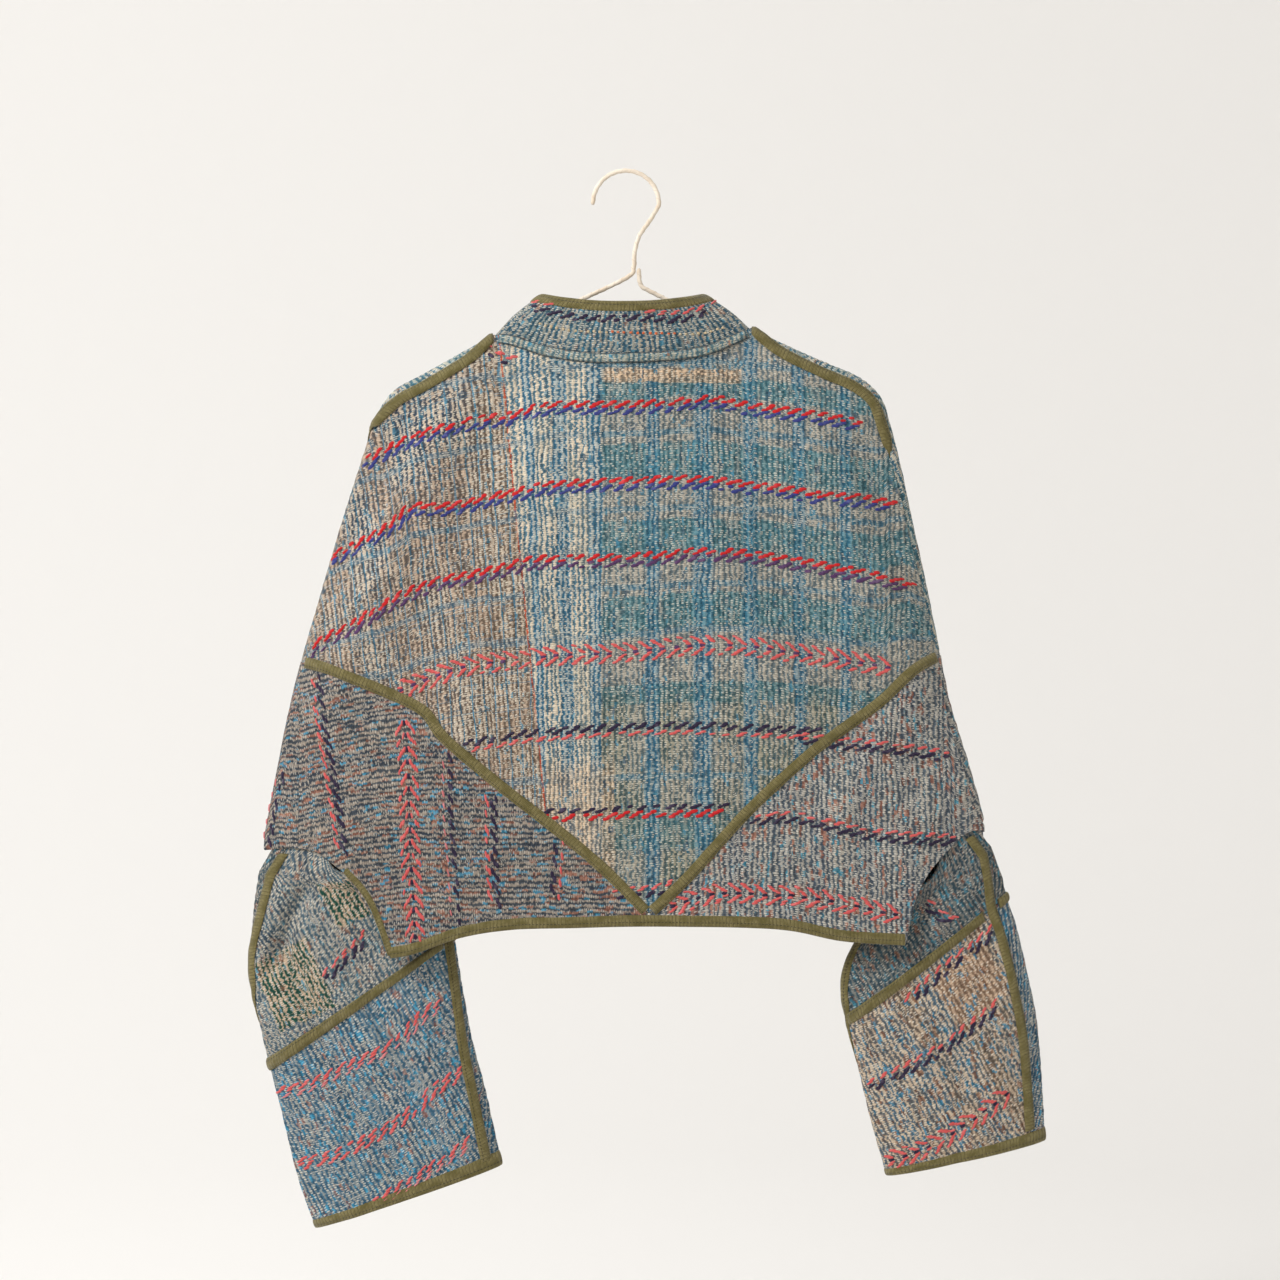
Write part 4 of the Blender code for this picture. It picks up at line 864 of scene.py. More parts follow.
def upper_back_material():
    made, quilting, place, grain = kantha_material(
        "upper back cloth", thread_amount=0.62, fleck_one=(62, 92, 112), fleck_one_amount=0.06,
        fleck_two=(70, 138, 164), fleck_two_amount=0.05, thread=(214, 208, 192),
    )
    spot = numbers(place)
    flat = numbers(grain)
    ragged = about_half(grain_noise(place, 70.0, 4.0), 7 * MM)
    frayed = about_half(grain_noise(place, 420.0, 2.0), 3 * MM)
    x0, z0, x1, z1 = [value * MM for value in STRIPE_EDGE]
    lean = (x1 - x0) / (z1 - z0)
    edge = x0 - z0 * lean + spot[1] * lean
    from_edge = spot[0] - (edge + ragged * 0.3)
    striped = soft_step(from_edge, -0.3 * MM, 0.3 * MM)
    checked = soft_step(spot[0] + ragged, CHECK_EDGE_X - MM, CHECK_EDGE_X + MM)
    down = flat[1] + ragged * 0.5
    torn = down + frayed * 1.6
    teal = any_of([between(torn, low * MM, high * MM, 2.5 * MM) for low, high in TEAL_BANDS])
    teal = teal * soft_step(grain_noise(stretched(grain, 160, 40), 1.0), 0.2, 0.55)
    lines = any_of([between(flat[1], (z - 1.6) * MM, (z + 1.6) * MM, 2 * MM) for z in BLUE_LINES])
    columns = any_of(
        [between(flat[0], (x - wide) * MM, (x + wide) * MM, 2 * MM) for x, wide in BLUE_COLUMNS]
    )
    drift = grain_noise(stretched(grain, 22, 12), 1.0, 2.0)
    cool = soft_step(drift, 0.42, 0.62)
    green = soft_step(down, -0.442, -0.47)
    # Beige check, its gaps slate towards the outline
    low_left = soft_step(spot[1], -0.3, -0.42)
    slate = soft_step(spot[0] + ragged, -0.118, -0.165) * (0.35 + cool * 0.65) * (1.0 - low_left * 0.6)
    slate_gap = mixed(slate, shade(144, 124, 106), shade(72, 90, 108))
    cloth = slate_gap, mixed(cool, shade(188, 164, 142), shade(202, 186, 166))
    # Cream and blue stripe
    stripe_gap = mixed(cool, shade(98, 142, 162), shade(134, 150, 152))
    cloth = laid_over(cloth, striped, stripe_gap, mixed(cool, shade(222, 206, 182), shade(204, 192, 170)))
    # Cross-check: teal weft bands between greyed beige ones
    check_gap = mixed(teal, shade(124, 138, 142), shade(78, 128, 140))
    cloth = laid_over(cloth, checked, check_gap, mixed(teal, shade(176, 168, 154), shade(126, 154, 156)))
    # Greener, more worn cloth towards the point of the V
    greener = green * (0.3 + cool * 0.5) * checked
    cloth = laid_over(cloth, greener, shade(92, 116, 112), shade(160, 154, 132))
    # Worn cream patch under the collar, and cream cloth showing through down the middle
    patch = between(spot[0] + ragged, -0.018, 0.098, 4 * MM)
    patch = patch * between(spot[1] + ragged, -0.186, -0.175, 1.5 * MM)
    low_patch = between(spot[0] + ragged, -0.07, -0.012, 3 * MM) * soft_step(down, -0.505, -0.53)
    patch = calc("MAXIMUM", patch, low_patch * 0.7)
    patch_gap = mixed(patch * 0.8, cloth[0], shade(178, 154, 128))
    cloth = patch_gap, mixed(patch, cloth[1], shade(226, 196, 164))
    # Blue warp columns and weft lines
    blue = calc("MAXIMUM", columns * striped, lines * 0.8) * (1.0 - patch)
    blue_gap = mixed(blue * 0.8, cloth[0], shade(52, 124, 160))
    cloth = blue_gap, mixed(blue * 0.5, cloth[1], shade(98, 152, 174))
    # Thin blue threads up the beige check and across it
    thread_x = (flat[0] + frayed * 0.2) / (11.4 * MM)
    thread = soft_step(calc("PINGPONG", thread_x, 0.5), 0.075, 0.05)
    across = calc("LESS_THAN", calc("FRACT", flat[1] / (31 * MM)), 0.035)
    faint = calc("LESS_THAN", calc("FRACT", flat[1] / (9.4 * MM)), 0.11)
    faint = faint * soft_step(grain_noise(place, 60.0), 0.42, 0.6)
    across = calc("MAXIMUM", across * 0.5, faint * 0.55)
    thread = calc("MAXIMUM", thread, across) * (1.0 - striped) * (0.4 + drift * 0.8)
    cloth = laid_over(cloth, thread, shade(70, 130, 158), shade(74, 136, 164))
    # Rust thread along the torn edge between check and stripe
    raw_edge = soft_step(calc("ABSOLUTE", from_edge + frayed), 0.9 * MM, 0.5 * MM)
    raw_edge = raw_edge * soft_step(drift, 0.3, 0.5)
    gap, cord = laid_over(cloth, raw_edge, shade(186, 84, 56), shade(204, 92, 58))
    link(gap, quilting.inputs["Gap"])
    link(cord, quilting.inputs["Cord"])
    weft_colour = mixed(checked, shade(150, 144, 130), shade(60, 112, 122))
    link(weft_colour, quilting.inputs["Weft"])
    link(0.06 + (checked * teal * 0.5 + lines * 0.35), quilting.inputs["Weft Amount"])
    return made


def finish_panel(node_name, points):
    """Hides a panel's CAD node."""
    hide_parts(node_name)
    first, second = points[1:, 1:] - points[:-1, :-1], points[1:, :-1] - points[:-1, 1:]


def body_panel(name, node_name, side, span, edges, grid, material, bands, seed, **grain_settings):
    """A panel of the body, between two x and between a top and a bottom height at each x.

    grid tells how many columns and rows of points it has.
    """
    sides, x, z, places, under = panel_grid(side, *span, *edges, *grid)
    points, normals = body_points(sides, x, z)
    points = points - normals * under[..., None]
    grain = cloth_grain(places, bands, seed=seed, **grain_settings)
    piece = cloth_panel(name, points, normals, places, grain, material)
    slot = "kantha_upper" if "upper" in name else "kantha_lower"
    finish_panel(node_name, points)


def columns_for(left, right, step):
    return int(round((right - left) / step)) + 1


# The upper panels stop just short of the V's corners, where they would have no height
CORNER_INSET = 0.8 * MM
CORD_STEP = CORD_PITCH / 4
upper_span = v_left_x + CORNER_INSET, v_right_x - CORNER_INSET
body_panel(
    "upper_back_cloth", "back_upper", BACK, upper_span, (upper_top(BACK), upper_bottom),
    (columns_for(v_left_x, v_right_x, CORD_STEP), 150), upper_back_material(), BACK_BANDS,
    seed=1, lean=0.16,
)


# Lower back: two panels of slate and beige check under the V. The right one is cut with its
# cords upright like the upper back; the left one is cut on the other grain, so its cords and
# its stitched bands run the other way.
RIGHT_BANDS = (
    ((150, -495), (186, -500), (231, -504), (282, -512)),
    ((106, -566), (143, -564), (172, -570), (216, -579), (260, -583), (290, -585)),
    ((37, -642), (78, -630), (125, -632), (143, -632), (187, -639), (231, -649), (246, -649)),
)
LEFT_BANDS = (
    ((-272, -440), (-268, -469), (-261, -513), (-253, -557), (-247, -601)),
    ((-194, -473), (-189, -528), (-187, -601), (-185, -632), (-183, -671)),
    ((-156, -510), (-155, -557), (-150, -630), (-149, -657)),
    ((-118, -542), (-117, -601), (-114, -651)),
    ((-58, -583), (-60, -612), (-62, -642)),
)


# How much the left panel's cords fan out towards its lower corner
LEFT_FAN = 1.55


def patch_mask(place, patch):
    """1 inside a patch with ragged edges. The patch: x, z, half width, half height, turn in degrees."""
    x, z, half_width, half_height, turn = patch
    tree = tree_of(place)
    offset = node(tree, "ShaderNodeVectorMath", {0: place, 1: (x * MM, z * MM, 0)}, operation="SUBTRACT")
    sockets = {"Vector": offset.outputs[0], "Angle": math.radians(-turn)}
    straight = node(tree, "ShaderNodeVectorRotate", sockets, rotation_type="Z_AXIS")
    spot = numbers(Signal(straight.outputs[0]))
    ragged = about_half(grain_noise(place, 150.0, 3.0), 14 * MM)
    masks = []
    for value, half in ((spot[0], half_width), (spot[1], half_height)):
        masks.append(soft_step(calc("ABSOLUTE", value) + ragged, half * MM, (half - 3) * MM))
    return calc("MULTIPLY", *masks)


def lower_material(name, gap, cord, second_gap, second_cord, patches=(), **values):
    """Two kinds of stripe in turn across the grain, with a worn, cooler or warmer drift, and patches."""
    made, quilting, place, grain = kantha_material(name, **values)
    cloth = numbers(grain)
    drift = soft_step(grain_noise(stretched(grain, 30, 9), 1.0, 2.0), 0.44, 0.6)
    stripe = calc("FRACT", cloth[0] / (8 * CORD_PITCH))
    stripe = soft_step(calc("ABSOLUTE", stripe - 0.5), 0.2, 0.28)
    share = (stripe + drift) * 0.5
    gap = mixed(share, shade(*gap), shade(*second_gap))
    cord = mixed(share, shade(*cord), shade(*second_cord))
    for patch, patch_gap, patch_cord in patches:
        mask = patch_mask(place, patch)
        gap, cord = laid_over((gap, cord), mask, shade(*patch_gap), shade(*patch_cord))
    link(gap, quilting.inputs["Gap"])
    link(cord, quilting.inputs["Cord"])
    return made


lower_left_cloth = lower_material(
    "lower left cloth", (68, 77, 90), (152, 142, 130), (90, 94, 98), (164, 150, 134),
    fleck_one=(158, 104, 84), fleck_one_amount=0.16, fleck_two=(58, 150, 184), fleck_two_amount=0.10,
    weft=(96, 112, 124), weft_amount=0.2, thread_amount=0.42, thread=(206, 200, 188),
)
lower_right_cloth = lower_material(
    "lower right cloth", (88, 100, 114), (170, 166, 158), (110, 122, 130), (184, 176, 162),
    fleck_one=(164, 106, 84), fleck_one_amount=0.15, fleck_two=(60, 152, 178), fleck_two_amount=0.07,
    weft=(118, 138, 152), weft_amount=0.2, thread_amount=0.5,
)
left_end, right_end = left_edge[-1, 0] + 2 * MM, right_edge[-1, 0] - 3 * MM


def back_foot(x):
    return lower_edge(BACK, x)


lower_edges = lower_top, back_foot
body_panel(
    "lower_back_left_cloth", "back_lower_left", BACK, (left_end, v_tip_x - SEAM_GAP / 2), lower_edges,
    (116, 176), lower_left_cloth, LEFT_BANDS, seed=5, turn=90, fan=LEFT_FAN,
)
body_panel(
    "lower_back_right_cloth", "back_lower_right", BACK, (v_tip_x + SEAM_GAP / 2, right_end), lower_edges,
    (columns_for(v_tip_x, right_end, CORD_STEP), 90), lower_right_cloth, RIGHT_BANDS, seed=7,
)


# Fronts: two upper and two lower panels that mirror the back's cut, open from neck to hem
# along the centre, where their edges only meet. They are the hidden side of the jacket.
FRONT_EDGE_X = 6 * MM
FRONT_EDGE_GAP = 4 * MM
edge_left, edge_right = FRONT_EDGE_X - FRONT_EDGE_GAP / 2, FRONT_EDGE_X + FRONT_EDGE_GAP / 2


def front_foot(x):
    return lower_edge(FRONT, x)


front_cloth = lower_material(
    "front cloth", (92, 140, 164), (210, 198, 176), (84, 132, 146), (176, 178, 166),
    fleck_one=(150, 112, 92), fleck_one_amount=0.05, fleck_two=(78, 146, 170), fleck_two_amount=0.06,
    weft=(84, 132, 144), weft_amount=0.3, thread_amount=0.55,
)
across_grain = {"turn": 90, "fan": LEFT_FAN}
front_names = []
for part, side, span, step, rows, cloth, bands, grain_settings in (
    ("upper", "left", (upper_span[0], edge_left), 1.6 * MM, 120, front_cloth, BACK_BANDS, {}),
    ("upper", "right", (edge_right, upper_span[1]), 1.6 * MM, 120, front_cloth, BACK_BANDS, {}),
    ("lower", "left", (left_end, edge_left), 3.2 * MM, 130, lower_left_cloth, LEFT_BANDS, across_grain),
    ("lower", "right", (edge_right, right_end), 1.6 * MM, 60, lower_right_cloth, RIGHT_BANDS, {}),
):
    name = f"{part}_front_{side}"
    edges = (upper_top(FRONT), upper_bottom) if part == "upper" else (lower_top, front_foot)
    body_panel(
        name + "_cloth", f"front_{part}_{side}", FRONT, span, edges, (columns_for(*span, step), rows),
        cloth, bands, seed=len(name), **grain_settings,
    )
    front_names.append(name + "_cloth")


# Sleeves: each has an upper and a lower part, and each part a back and a front, joined along
# the overarm and the underarm. They hang as flat, soft tubes; the upper part tucks up inside
# the deep dolman armhole, and the left one falls in a heavy diagonal fold.
SLEEVE_TUCK = 6 * MM
SLEEVE_RISE = 15 * MM
SLEEVE_UNDERLAP = 3.2 * MM
TUCKED_LENGTH = 38 * MM
ELBOW_RING = 5
CUFF_RING = 9
ELBOW_GAP = 0.012
SLEEVE_TURN = 30
# Rings from the armhole to the cuff. Columns: outer x and z, inner x and z, back and front
# depth, in millimetres; overarm and underarm seam, in degrees round from each edge
SLEEVE_ROWS = {
    "left": (
        (-323, -615, -186, -640, 21, 17, 33, 14),
        (-328, -653, -168, -650, 19, 16, 24, 15),
        (-330, -699, -159, -656, 18, 15, 6, 16),
        (-324, -740, -155, -664, 18, 14, -12, 17),
        (-314, -784, -153, -671, 19, 14, -22, 18),
        (-304, -822, -146, -715, 19, 14, -26, 20),
        (-295, -860, -137, -763, 18, 14, -28, 24),
        (-286, -893, -125, -809, 18, 14, -28, 28),
        (-273, -927, -111, -872, 17, 14, -28, 30),
    ),
    "right": (
        (320, -594, 221, -666, 21, 17, 34, 10),
        (325, -608, 205, -676, 19, 16, 35, 10),
        (329, -619, 194, -697, 18, 15, 36, 8),
        (331, -628, 191, -720, 18, 14, 36, 4),
        (333, -636, 195, -744, 18, 14, 36, -6),
        (343, -668, 201, -772, 19, 15, 36, -14),
        (353, -712, 208, -803, 19, 15, 36, -20),
        (361, -758, 216, -836, 18, 15, 36, -24),
        (367, -850, 229, -881, 17, 14, 36, -26),
    ),
}
# Creases across or down the sleeves. Columns: sleeve, side, x0, z0, x1, z1, half width, height
SLEEVE_CREASES = (
    ("left", BACK, -270, -606, -313, -700, 8, -7.0),
    ("left", BACK, -292, -606, -322, -690, 10, 4.0),
    ("left", BACK, -303, -682, -240, -808, 10, -4.0),
    ("left", BACK, -278, -672, -214, -770, 14, 3.6),
    ("left", BACK, -243, -690, -196, -768, 9, -2.4),
    ("left", BACK, -208, -690, -176, -742, 10, 2.2),
    ("left", BACK, -314, -712, -288, -800, 9, 1.8),
    ("left", BACK, -262, -830, -240, -905, 12, 2.2),
    ("left", BACK, -222, -800, -196, -880, 10, -2.0),
    ("left", BACK, -180, -770, -150, -850, 11, 1.8),
    ("left", BACK, -290, -826, -268, -880, 9, -1.6),
    ("right", BACK, 300, -630, 232, -706, 10, 2.6),
    ("right", BACK, 316, -652, 250, -730, 9, -2.4),
    ("right", BACK, 262, -742, 246, -850, 10, 2.2),
    ("right", BACK, 296, -740, 288, -860, 11, -2.2),
    ("right", BACK, 330, -710, 322, -840, 10, 2.0),
    ("left", FRONT, -290, -690, -230, -790, 12, 3.0),
    ("left", FRONT, -230, -820, -200, -890, 12, -2.0),
    ("right", FRONT, 300, -640, 240, -710, 10, 2.6),
    ("right", FRONT, 300, -740, 280, -860, 12, 2.0),
)


def sleeve_row(name, ring):
    """The sleeve's rows at arrays of fractional rings, in table units."""
    table = np.array(SLEEVE_ROWS[name], float)
    padded = np.vstack([table[:1], table, table[-1:]])
    low = np.clip(np.floor(ring).astype(int), 0, len(table) - 2)
    t = (ring - low)[..., None]
    return between_rows(*(padded[low + k] for k in range(4)), t)


def armhole_ring(name, turn):
    """The sleeve's top edge, tucked up inside the body."""
    side = np.where(np.sin(turn) >= 0, BACK, FRONT)
    share = (1 - np.cos(turn)) / 2
    curve = armhole[name]
    lengths = np.concatenate([[0], np.cumsum(np.hypot(*np.diff(curve, axis=0).T))])
    wanted = (0.05 + 0.91 * share) * lengths[-1]
    x, z = np.interp(wanted, lengths, curve[:, 0]), np.interp(wanted, lengths, curve[:, 1])
    outer_x, outer_z, inner_x, inner_z = np.array(SLEEVE_ROWS[name][0][:4]) * MM
    inside = smoothstep((share - 0.2) / 0.4)
    x = x + (1 if name == "left" else -1) * 0.8 * SLEEVE_TUCK
    z = z + 0.8 * SLEEVE_TUCK
    x = x + (outer_x + (inner_x - outer_x) * share - x) * inside
    z = z + (outer_z + (inner_z - outer_z) * share + SLEEVE_RISE - z) * inside
    points, normals = body_points(side, x, z)
    points = points - normals * SLEEVE_UNDERLAP
    closing = np.sqrt(np.clip(1 - (np.maximum(share - 0.8, 0) / 0.2) ** 2, 0, 1))
    points[..., 1] = np.where(points[..., 1] * side < 0, 0, points[..., 1]) * closing
    return points


def sleeve_middle(name, ring, turn):
    """Middle of the sleeve's cloth. Turn 0 is the outer edge, a quarter turn the back."""
    rows = sleeve_row(name, np.maximum(ring - 1, 0)) * MM
    back = np.sin(turn) >= 0
    depth = np.where(back, rows[..., 4], rows[..., 5])
    middle_x, half_x = (rows[..., 0] + rows[..., 2]) / 2, (rows[..., 0] - rows[..., 2]) / 2
    middle_z, half_z = (rows[..., 1] + rows[..., 3]) / 2, (rows[..., 1] - rows[..., 3]) / 2
    cosine = np.cos(turn)
    points = np.stack([middle_x + half_x * cosine, -depth * np.sin(turn), middle_z + half_z * cosine], -1)
    tucked = ring < 1
    if tucked.any():
        share = smoothstep(ring[tucked])[:, None]
        points[tucked] = armhole_ring(name, turn[tucked]) * (1 - share) + points[tucked] * share
    return points


def sleeve_surface(name, ring, turn):
    """Middle of the sleeve's cloth and its outward normal, its creases included."""
    points = sleeve_middle(name, ring, turn)
    around = sleeve_middle(name, ring, turn + 0.02) - sleeve_middle(name, ring, turn - 0.02)
    below, above = np.minimum(ring + 0.05, CUFF_RING), np.maximum(ring - 0.05, 0)
    down = sleeve_middle(name, below, turn) - sleeve_middle(name, above, turn)
    normals = unit(np.cross(around, down))
    edge = sleeve_middle(name, ring, turn * 0), sleeve_middle(name, ring, turn * 0 + math.pi)
    wrong = (normals * (points - (edge[0] + edge[1]) / 2)).sum(-1) < 0
    normals[wrong] *= -1
    side = np.where(np.sin(turn) >= 0, BACK, FRONT)
    fade = np.clip(np.abs(np.sin(turn)) / 0.5, 0, 1) * smoothstep(ring - 0.6)
    raised = np.zeros(ring.shape)
    for crease_name, crease_side, *crease in SLEEVE_CREASES:
        if crease_name == name:
            depth = crease_depth(points[..., 0], points[..., 2], *crease)
            raised += np.where(side == crease_side, depth, 0)
    return points + normals * (raised * fade)[..., None], normals


def seam_turns(name, ring):
    """How far round the sleeve its overarm and underarm seams lie."""
    rows = np.radians(sleeve_row(name, np.maximum(ring - 1, 0))[..., 6:])
    return rows[..., 0], math.pi - rows[..., 1]


SLEEVE_COLUMNS = 110
# Open turn, in radians, on each side of an overarm or underarm seam
SLEEVE_GAP = 0.012


def sleeve_panel(node_name, name, rings, is_back, material, bands):
    """One piece of a sleeve, from its overarm seam to its underarm seam."""
    rows = len(rings)
    overarm, underarm = seam_turns(name, rings)
    start, end = (overarm, underarm) if is_back else (underarm, overarm + 2 * math.pi)
    t = np.linspace(0, 1, SLEEVE_COLUMNS)[:, None]
    turns = (start + SLEEVE_GAP)[None, :] + (end - start - 2 * SLEEVE_GAP)[None, :] * t
    ring = np.broadcast_to(rings[None, :], turns.shape)
    points, normals = sleeve_surface(name, ring, turns)
    steps = np.linalg.norm(np.diff(points, axis=0), axis=2)
    length = np.concatenate([np.zeros((1, rows)), np.cumsum(steps, axis=0)])
    table = sleeve_row(name, np.maximum(rings - 1, 0)) * MM
    centre = np.stack([(table[:, 0] + table[:, 2]) / 2, (table[:, 1] + table[:, 3]) / 2], 1)
    outwards = unit(np.stack([table[:, 0] - table[:, 2], table[:, 1] - table[:, 3]], 1))
    upward_x = np.abs(outwards[:, 1]) * np.sign(-outwards[:, 0] * outwards[:, 1])
    upwards = np.stack([upward_x, np.abs(outwards[:, 0])], 1)
    centre = centre + upwards * np.maximum(1 - rings, 0)[:, None] * TUCKED_LENGTH
    middle_turn = math.pi / 2 if is_back else 3 * math.pi / 2
    places = np.empty(turns.shape + (2,))
    for j in range(rows):
        from_middle = length[:, j] - np.interp(middle_turn, turns[:, j], length[:, j])
        if is_back:
            from_middle = -from_middle
        places[:, j] = centre[j] + outwards[j] * from_middle[:, None]
    grain = cloth_grain(places, bands, SLEEVE_TURN, len(node_name))
    piece = cloth_panel(node_name + "_cloth", points, normals, places, grain, material, across=6, along=6)
    finish_panel(node_name, points)


LEFT_SLEEVE_BANDS = (
    ((-262, -703), (-242, -684), (-221, -661)),
    ((-307, -809), (-278, -801), (-253, -789), (-234, -780), (-202, -764), (-179, -741),
     (-158, -726)),
    ((-291, -871), (-259, -862), (-234, -851), (-209, -837), (-188, -822), (-169, -804),
     (-144, -789)),
    ((-222, -903), (-202, -893), (-169, -872), (-134, -849)),
)
RIGHT_SLEEVE_BANDS = (
    ((237, -712), (272, -681), (291, -671), (317, -650)),
    ((212, -802), (273, -768), (299, -749), (330, -724)),
    ((229, -868), (273, -849), (313, -822), (341, -800)),
)
STITCHED_PATCH = ((26, 92, 74), (196, 170, 142))
LEFT_PATCHES = (((-244, -634, 21, 25, 28), *STITCHED_PATCH), ((-293, -713, 30, 34, 24), *STITCHED_PATCH))
RIGHT_PATCHES = (((301, -712, 30, 26, 35), (168, 134, 106), (206, 176, 146)),)
# Colours darker than the lower sleeve cloth: painted shade, since the upper sleeves hang in shade under the
# body
shaded_upper_sleeve_cloth = lower_material(
    "shaded upper sleeve cloth", (62, 80, 92), (140, 130, 118), (72, 98, 110), (126, 124, 116),
    fleck_one=(148, 104, 84), fleck_one_amount=0.10, fleck_two=(62, 140, 164), fleck_two_amount=0.12,
    weft=(96, 132, 146), weft_amount=0.25, thread_amount=0.36,
)
lower_sleeve_cloth = lower_material(
    "lower sleeve cloth", (70, 108, 134), (172, 165, 150), (80, 122, 148), (146, 148, 142),
    fleck_one=(160, 108, 92), fleck_one_amount=0.07, fleck_two=(48, 156, 196), fleck_two_amount=0.14,
    weft=(70, 136, 172), weft_amount=0.35, thread_amount=0.5,
)
patched_sleeve_cloth = lower_material(
    "patched sleeve cloth", (84, 104, 120), (172, 164, 150), (96, 126, 142), (168, 162, 150), LEFT_PATCHES,
    fleck_one=(148, 104, 84), fleck_one_amount=0.06, fleck_two=(62, 140, 164), fleck_two_amount=0.05,
    weft=(96, 132, 146), weft_amount=0.15, thread_amount=0.5,
)
tan_sleeve_cloth = lower_material(
    "tan sleeve cloth", (96, 124, 142), (206, 186, 160), (140, 122, 104), (202, 178, 150), RIGHT_PATCHES,
    fleck_one=(140, 96, 72), fleck_one_amount=0.13, fleck_two=(48, 140, 176), fleck_two_amount=0.12,
    weft=(110, 132, 146), weft_amount=0.2, thread_amount=0.5,
)
special_cloth = {
    "upper_sleeve_back_left": patched_sleeve_cloth,
    "lower_sleeve_back_right": tan_sleeve_cloth,
}
upper_rings = np.concatenate([np.linspace(0, 1, 10)[:-1], np.linspace(1, ELBOW_RING - 2 * ELBOW_GAP, 76)])
lower_rings = np.linspace(ELBOW_RING + ELBOW_GAP, CUFF_RING, 110)
sleeve_parts = {"upper": (upper_rings, shaded_upper_sleeve_cloth), "lower": (lower_rings, lower_sleeve_cloth)}
for name, bands in (("left", LEFT_SLEEVE_BANDS), ("right", RIGHT_SLEEVE_BANDS)):
    for part, (rings, cloth) in sleeve_parts.items():
        for place in ("back", "front"):
            node_name = f"{part}_sleeve_{place}_{name}"
            cloth_here = special_cloth.get(node_name, cloth)
            sleeve_panel(node_name, name, rings, place == "back", cloth_here, bands)


# Collar: a short stand of the same quilted cloth, wider at its base than at its top. It
# stands on the neckline and leans in over the hanger's neck.
COLLAR_TOP_HALF_WIDTH = 72 * MM
COLLAR_TOP_Z = {BACK: -116.5 * MM, FRONT: -158 * MM}
COLLAR_TOP_SIDE_Z = -108 * MM
COLLAR_TOP_DEPTH = {BACK: 23 * MM, FRONT: 17 * MM}
COLLAR_CENTRE_X = -3.5 * MM
COLLAR_FRONT_GAP = 5 * MM
COLLAR_HEIGHT = 47 * MM


def collar_middle(angle, rise):
    """Middle of the collar's cloth; angle 0 is the centre back, rise 0 its base and 1 its top."""
    back = np.cos(angle) > 0
    side = np.where(back, BACK, FRONT)
    sine, cosine = np.sin(angle), np.cos(angle)
    x = (neck_left_x + neck_right_x) / 2 + (neck_right_x - neck_left_x) / 2 * 0.985 * sine
    z = np.where(back, at_x(neckline[BACK], x), at_x(neckline[FRONT], x))
    base = body_points(side, x, z)[0]
    depth = np.where(back, COLLAR_TOP_DEPTH[BACK], COLLAR_TOP_DEPTH[FRONT])
    centre_z = np.where(back, COLLAR_TOP_Z[BACK], COLLAR_TOP_Z[FRONT])
    top_z = COLLAR_TOP_SIDE_Z + (centre_z - COLLAR_TOP_SIDE_Z) * cosine ** 2
    top = np.stack([COLLAR_CENTRE_X + COLLAR_TOP_HALF_WIDTH * sine, -depth * cosine, top_z], axis=-1)
    start = base + unit(top - base) * 2.8 * MM
    rise = np.asarray(rise)[..., None]
    belly = np.stack([sine, -cosine * 0.6, 0 * sine], axis=-1) * 3 * MM * np.sin(math.pi * rise)
    wave = 1.2 * MM * np.sin(7 * angle + 1.3) * np.clip(rise[..., 0], 0, 1)
    belly[..., 0] += wave * sine
    belly[..., 1] -= wave * cosine
    return start + (top - start) * rise + belly


def collar_surface(angle, rise):
    points = collar_middle(angle, rise)
    around = collar_middle(angle + 0.01, rise) - points
    up = collar_middle(angle, rise + 0.02) - points
    normals = unit(np.cross(around, up))
    outward = np.stack([np.sin(angle), -np.cos(angle), 0 * angle], axis=-1)
    normals[(normals * outward).sum(-1) < 0] *= -1
    return points, normals


collar_half_turn = math.pi - COLLAR_FRONT_GAP / (neck_right_x - neck_left_x) * 1.2
collar_angle = np.linspace(-collar_half_turn, collar_half_turn, 460)
angle_grid, rise_grid = np.meshgrid(collar_angle, np.linspace(1, -0.06, 24), indexing="ij")
collar_points, collar_normals = collar_surface(angle_grid, rise_grid)
collar_run = np.linalg.norm(np.diff(collar_points[:, 12], axis=0), axis=1)
collar_length = np.concatenate([[0], np.cumsum(collar_run)])
collar_length -= collar_length[-1] / 2
collar_along = np.broadcast_to(collar_length[:, None], rise_grid.shape)
collar_places = np.stack([collar_along, rise_grid * COLLAR_HEIGHT], -1)
wave = lattice_noise(collar_places[..., 0] / (9 * MM), collar_places[..., 1] / (20 * MM), 4)
collar_grain = collar_places + np.stack([MM * wave, 0 * wave], -1)
collar_cloth = lower_material(
    "collar cloth", (70, 112, 134), (176, 166, 148), (62, 104, 124), (140, 144, 136),
    fleck_one=(150, 112, 92), fleck_one_amount=0.05, fleck_two=(70, 140, 166), fleck_two_amount=0.08,
    weft=(96, 138, 156), weft_amount=0.25, thread_amount=0.55,
)
collar = cloth_panel(
    "stand_collar_cloth", collar_points, collar_normals, collar_places, collar_grain, collar_cloth,
    across=8, along=4,
)
finish_panel(
    "collar", collar_points,
)


# Stitched bands: thick coloured threads run through the cloth in short steps, a warm colour
# over a dark one, or in arrow rows. Each dash is its own small raised stitch on the surface.
STAIR_PITCH = 11.6 * MM
THREADS = {
    "red": (200, 22, 26),
    "navy": (50, 58, 128),
    "purple": (36, 24, 54),
    "plum": (82, 50, 94),
    "salmon": (218, 92, 90),
    "pink": (214, 122, 124),
    "orange": (214, 106, 58),
    "turquoise": (44, 146, 178),
    "green": (34, 98, 78),
    "straw": (206, 184, 148),
}
FINER_THREADS = {"salmon": 0.76, "pink": 0.6, "orange": 0.8, "straw": 0.8}


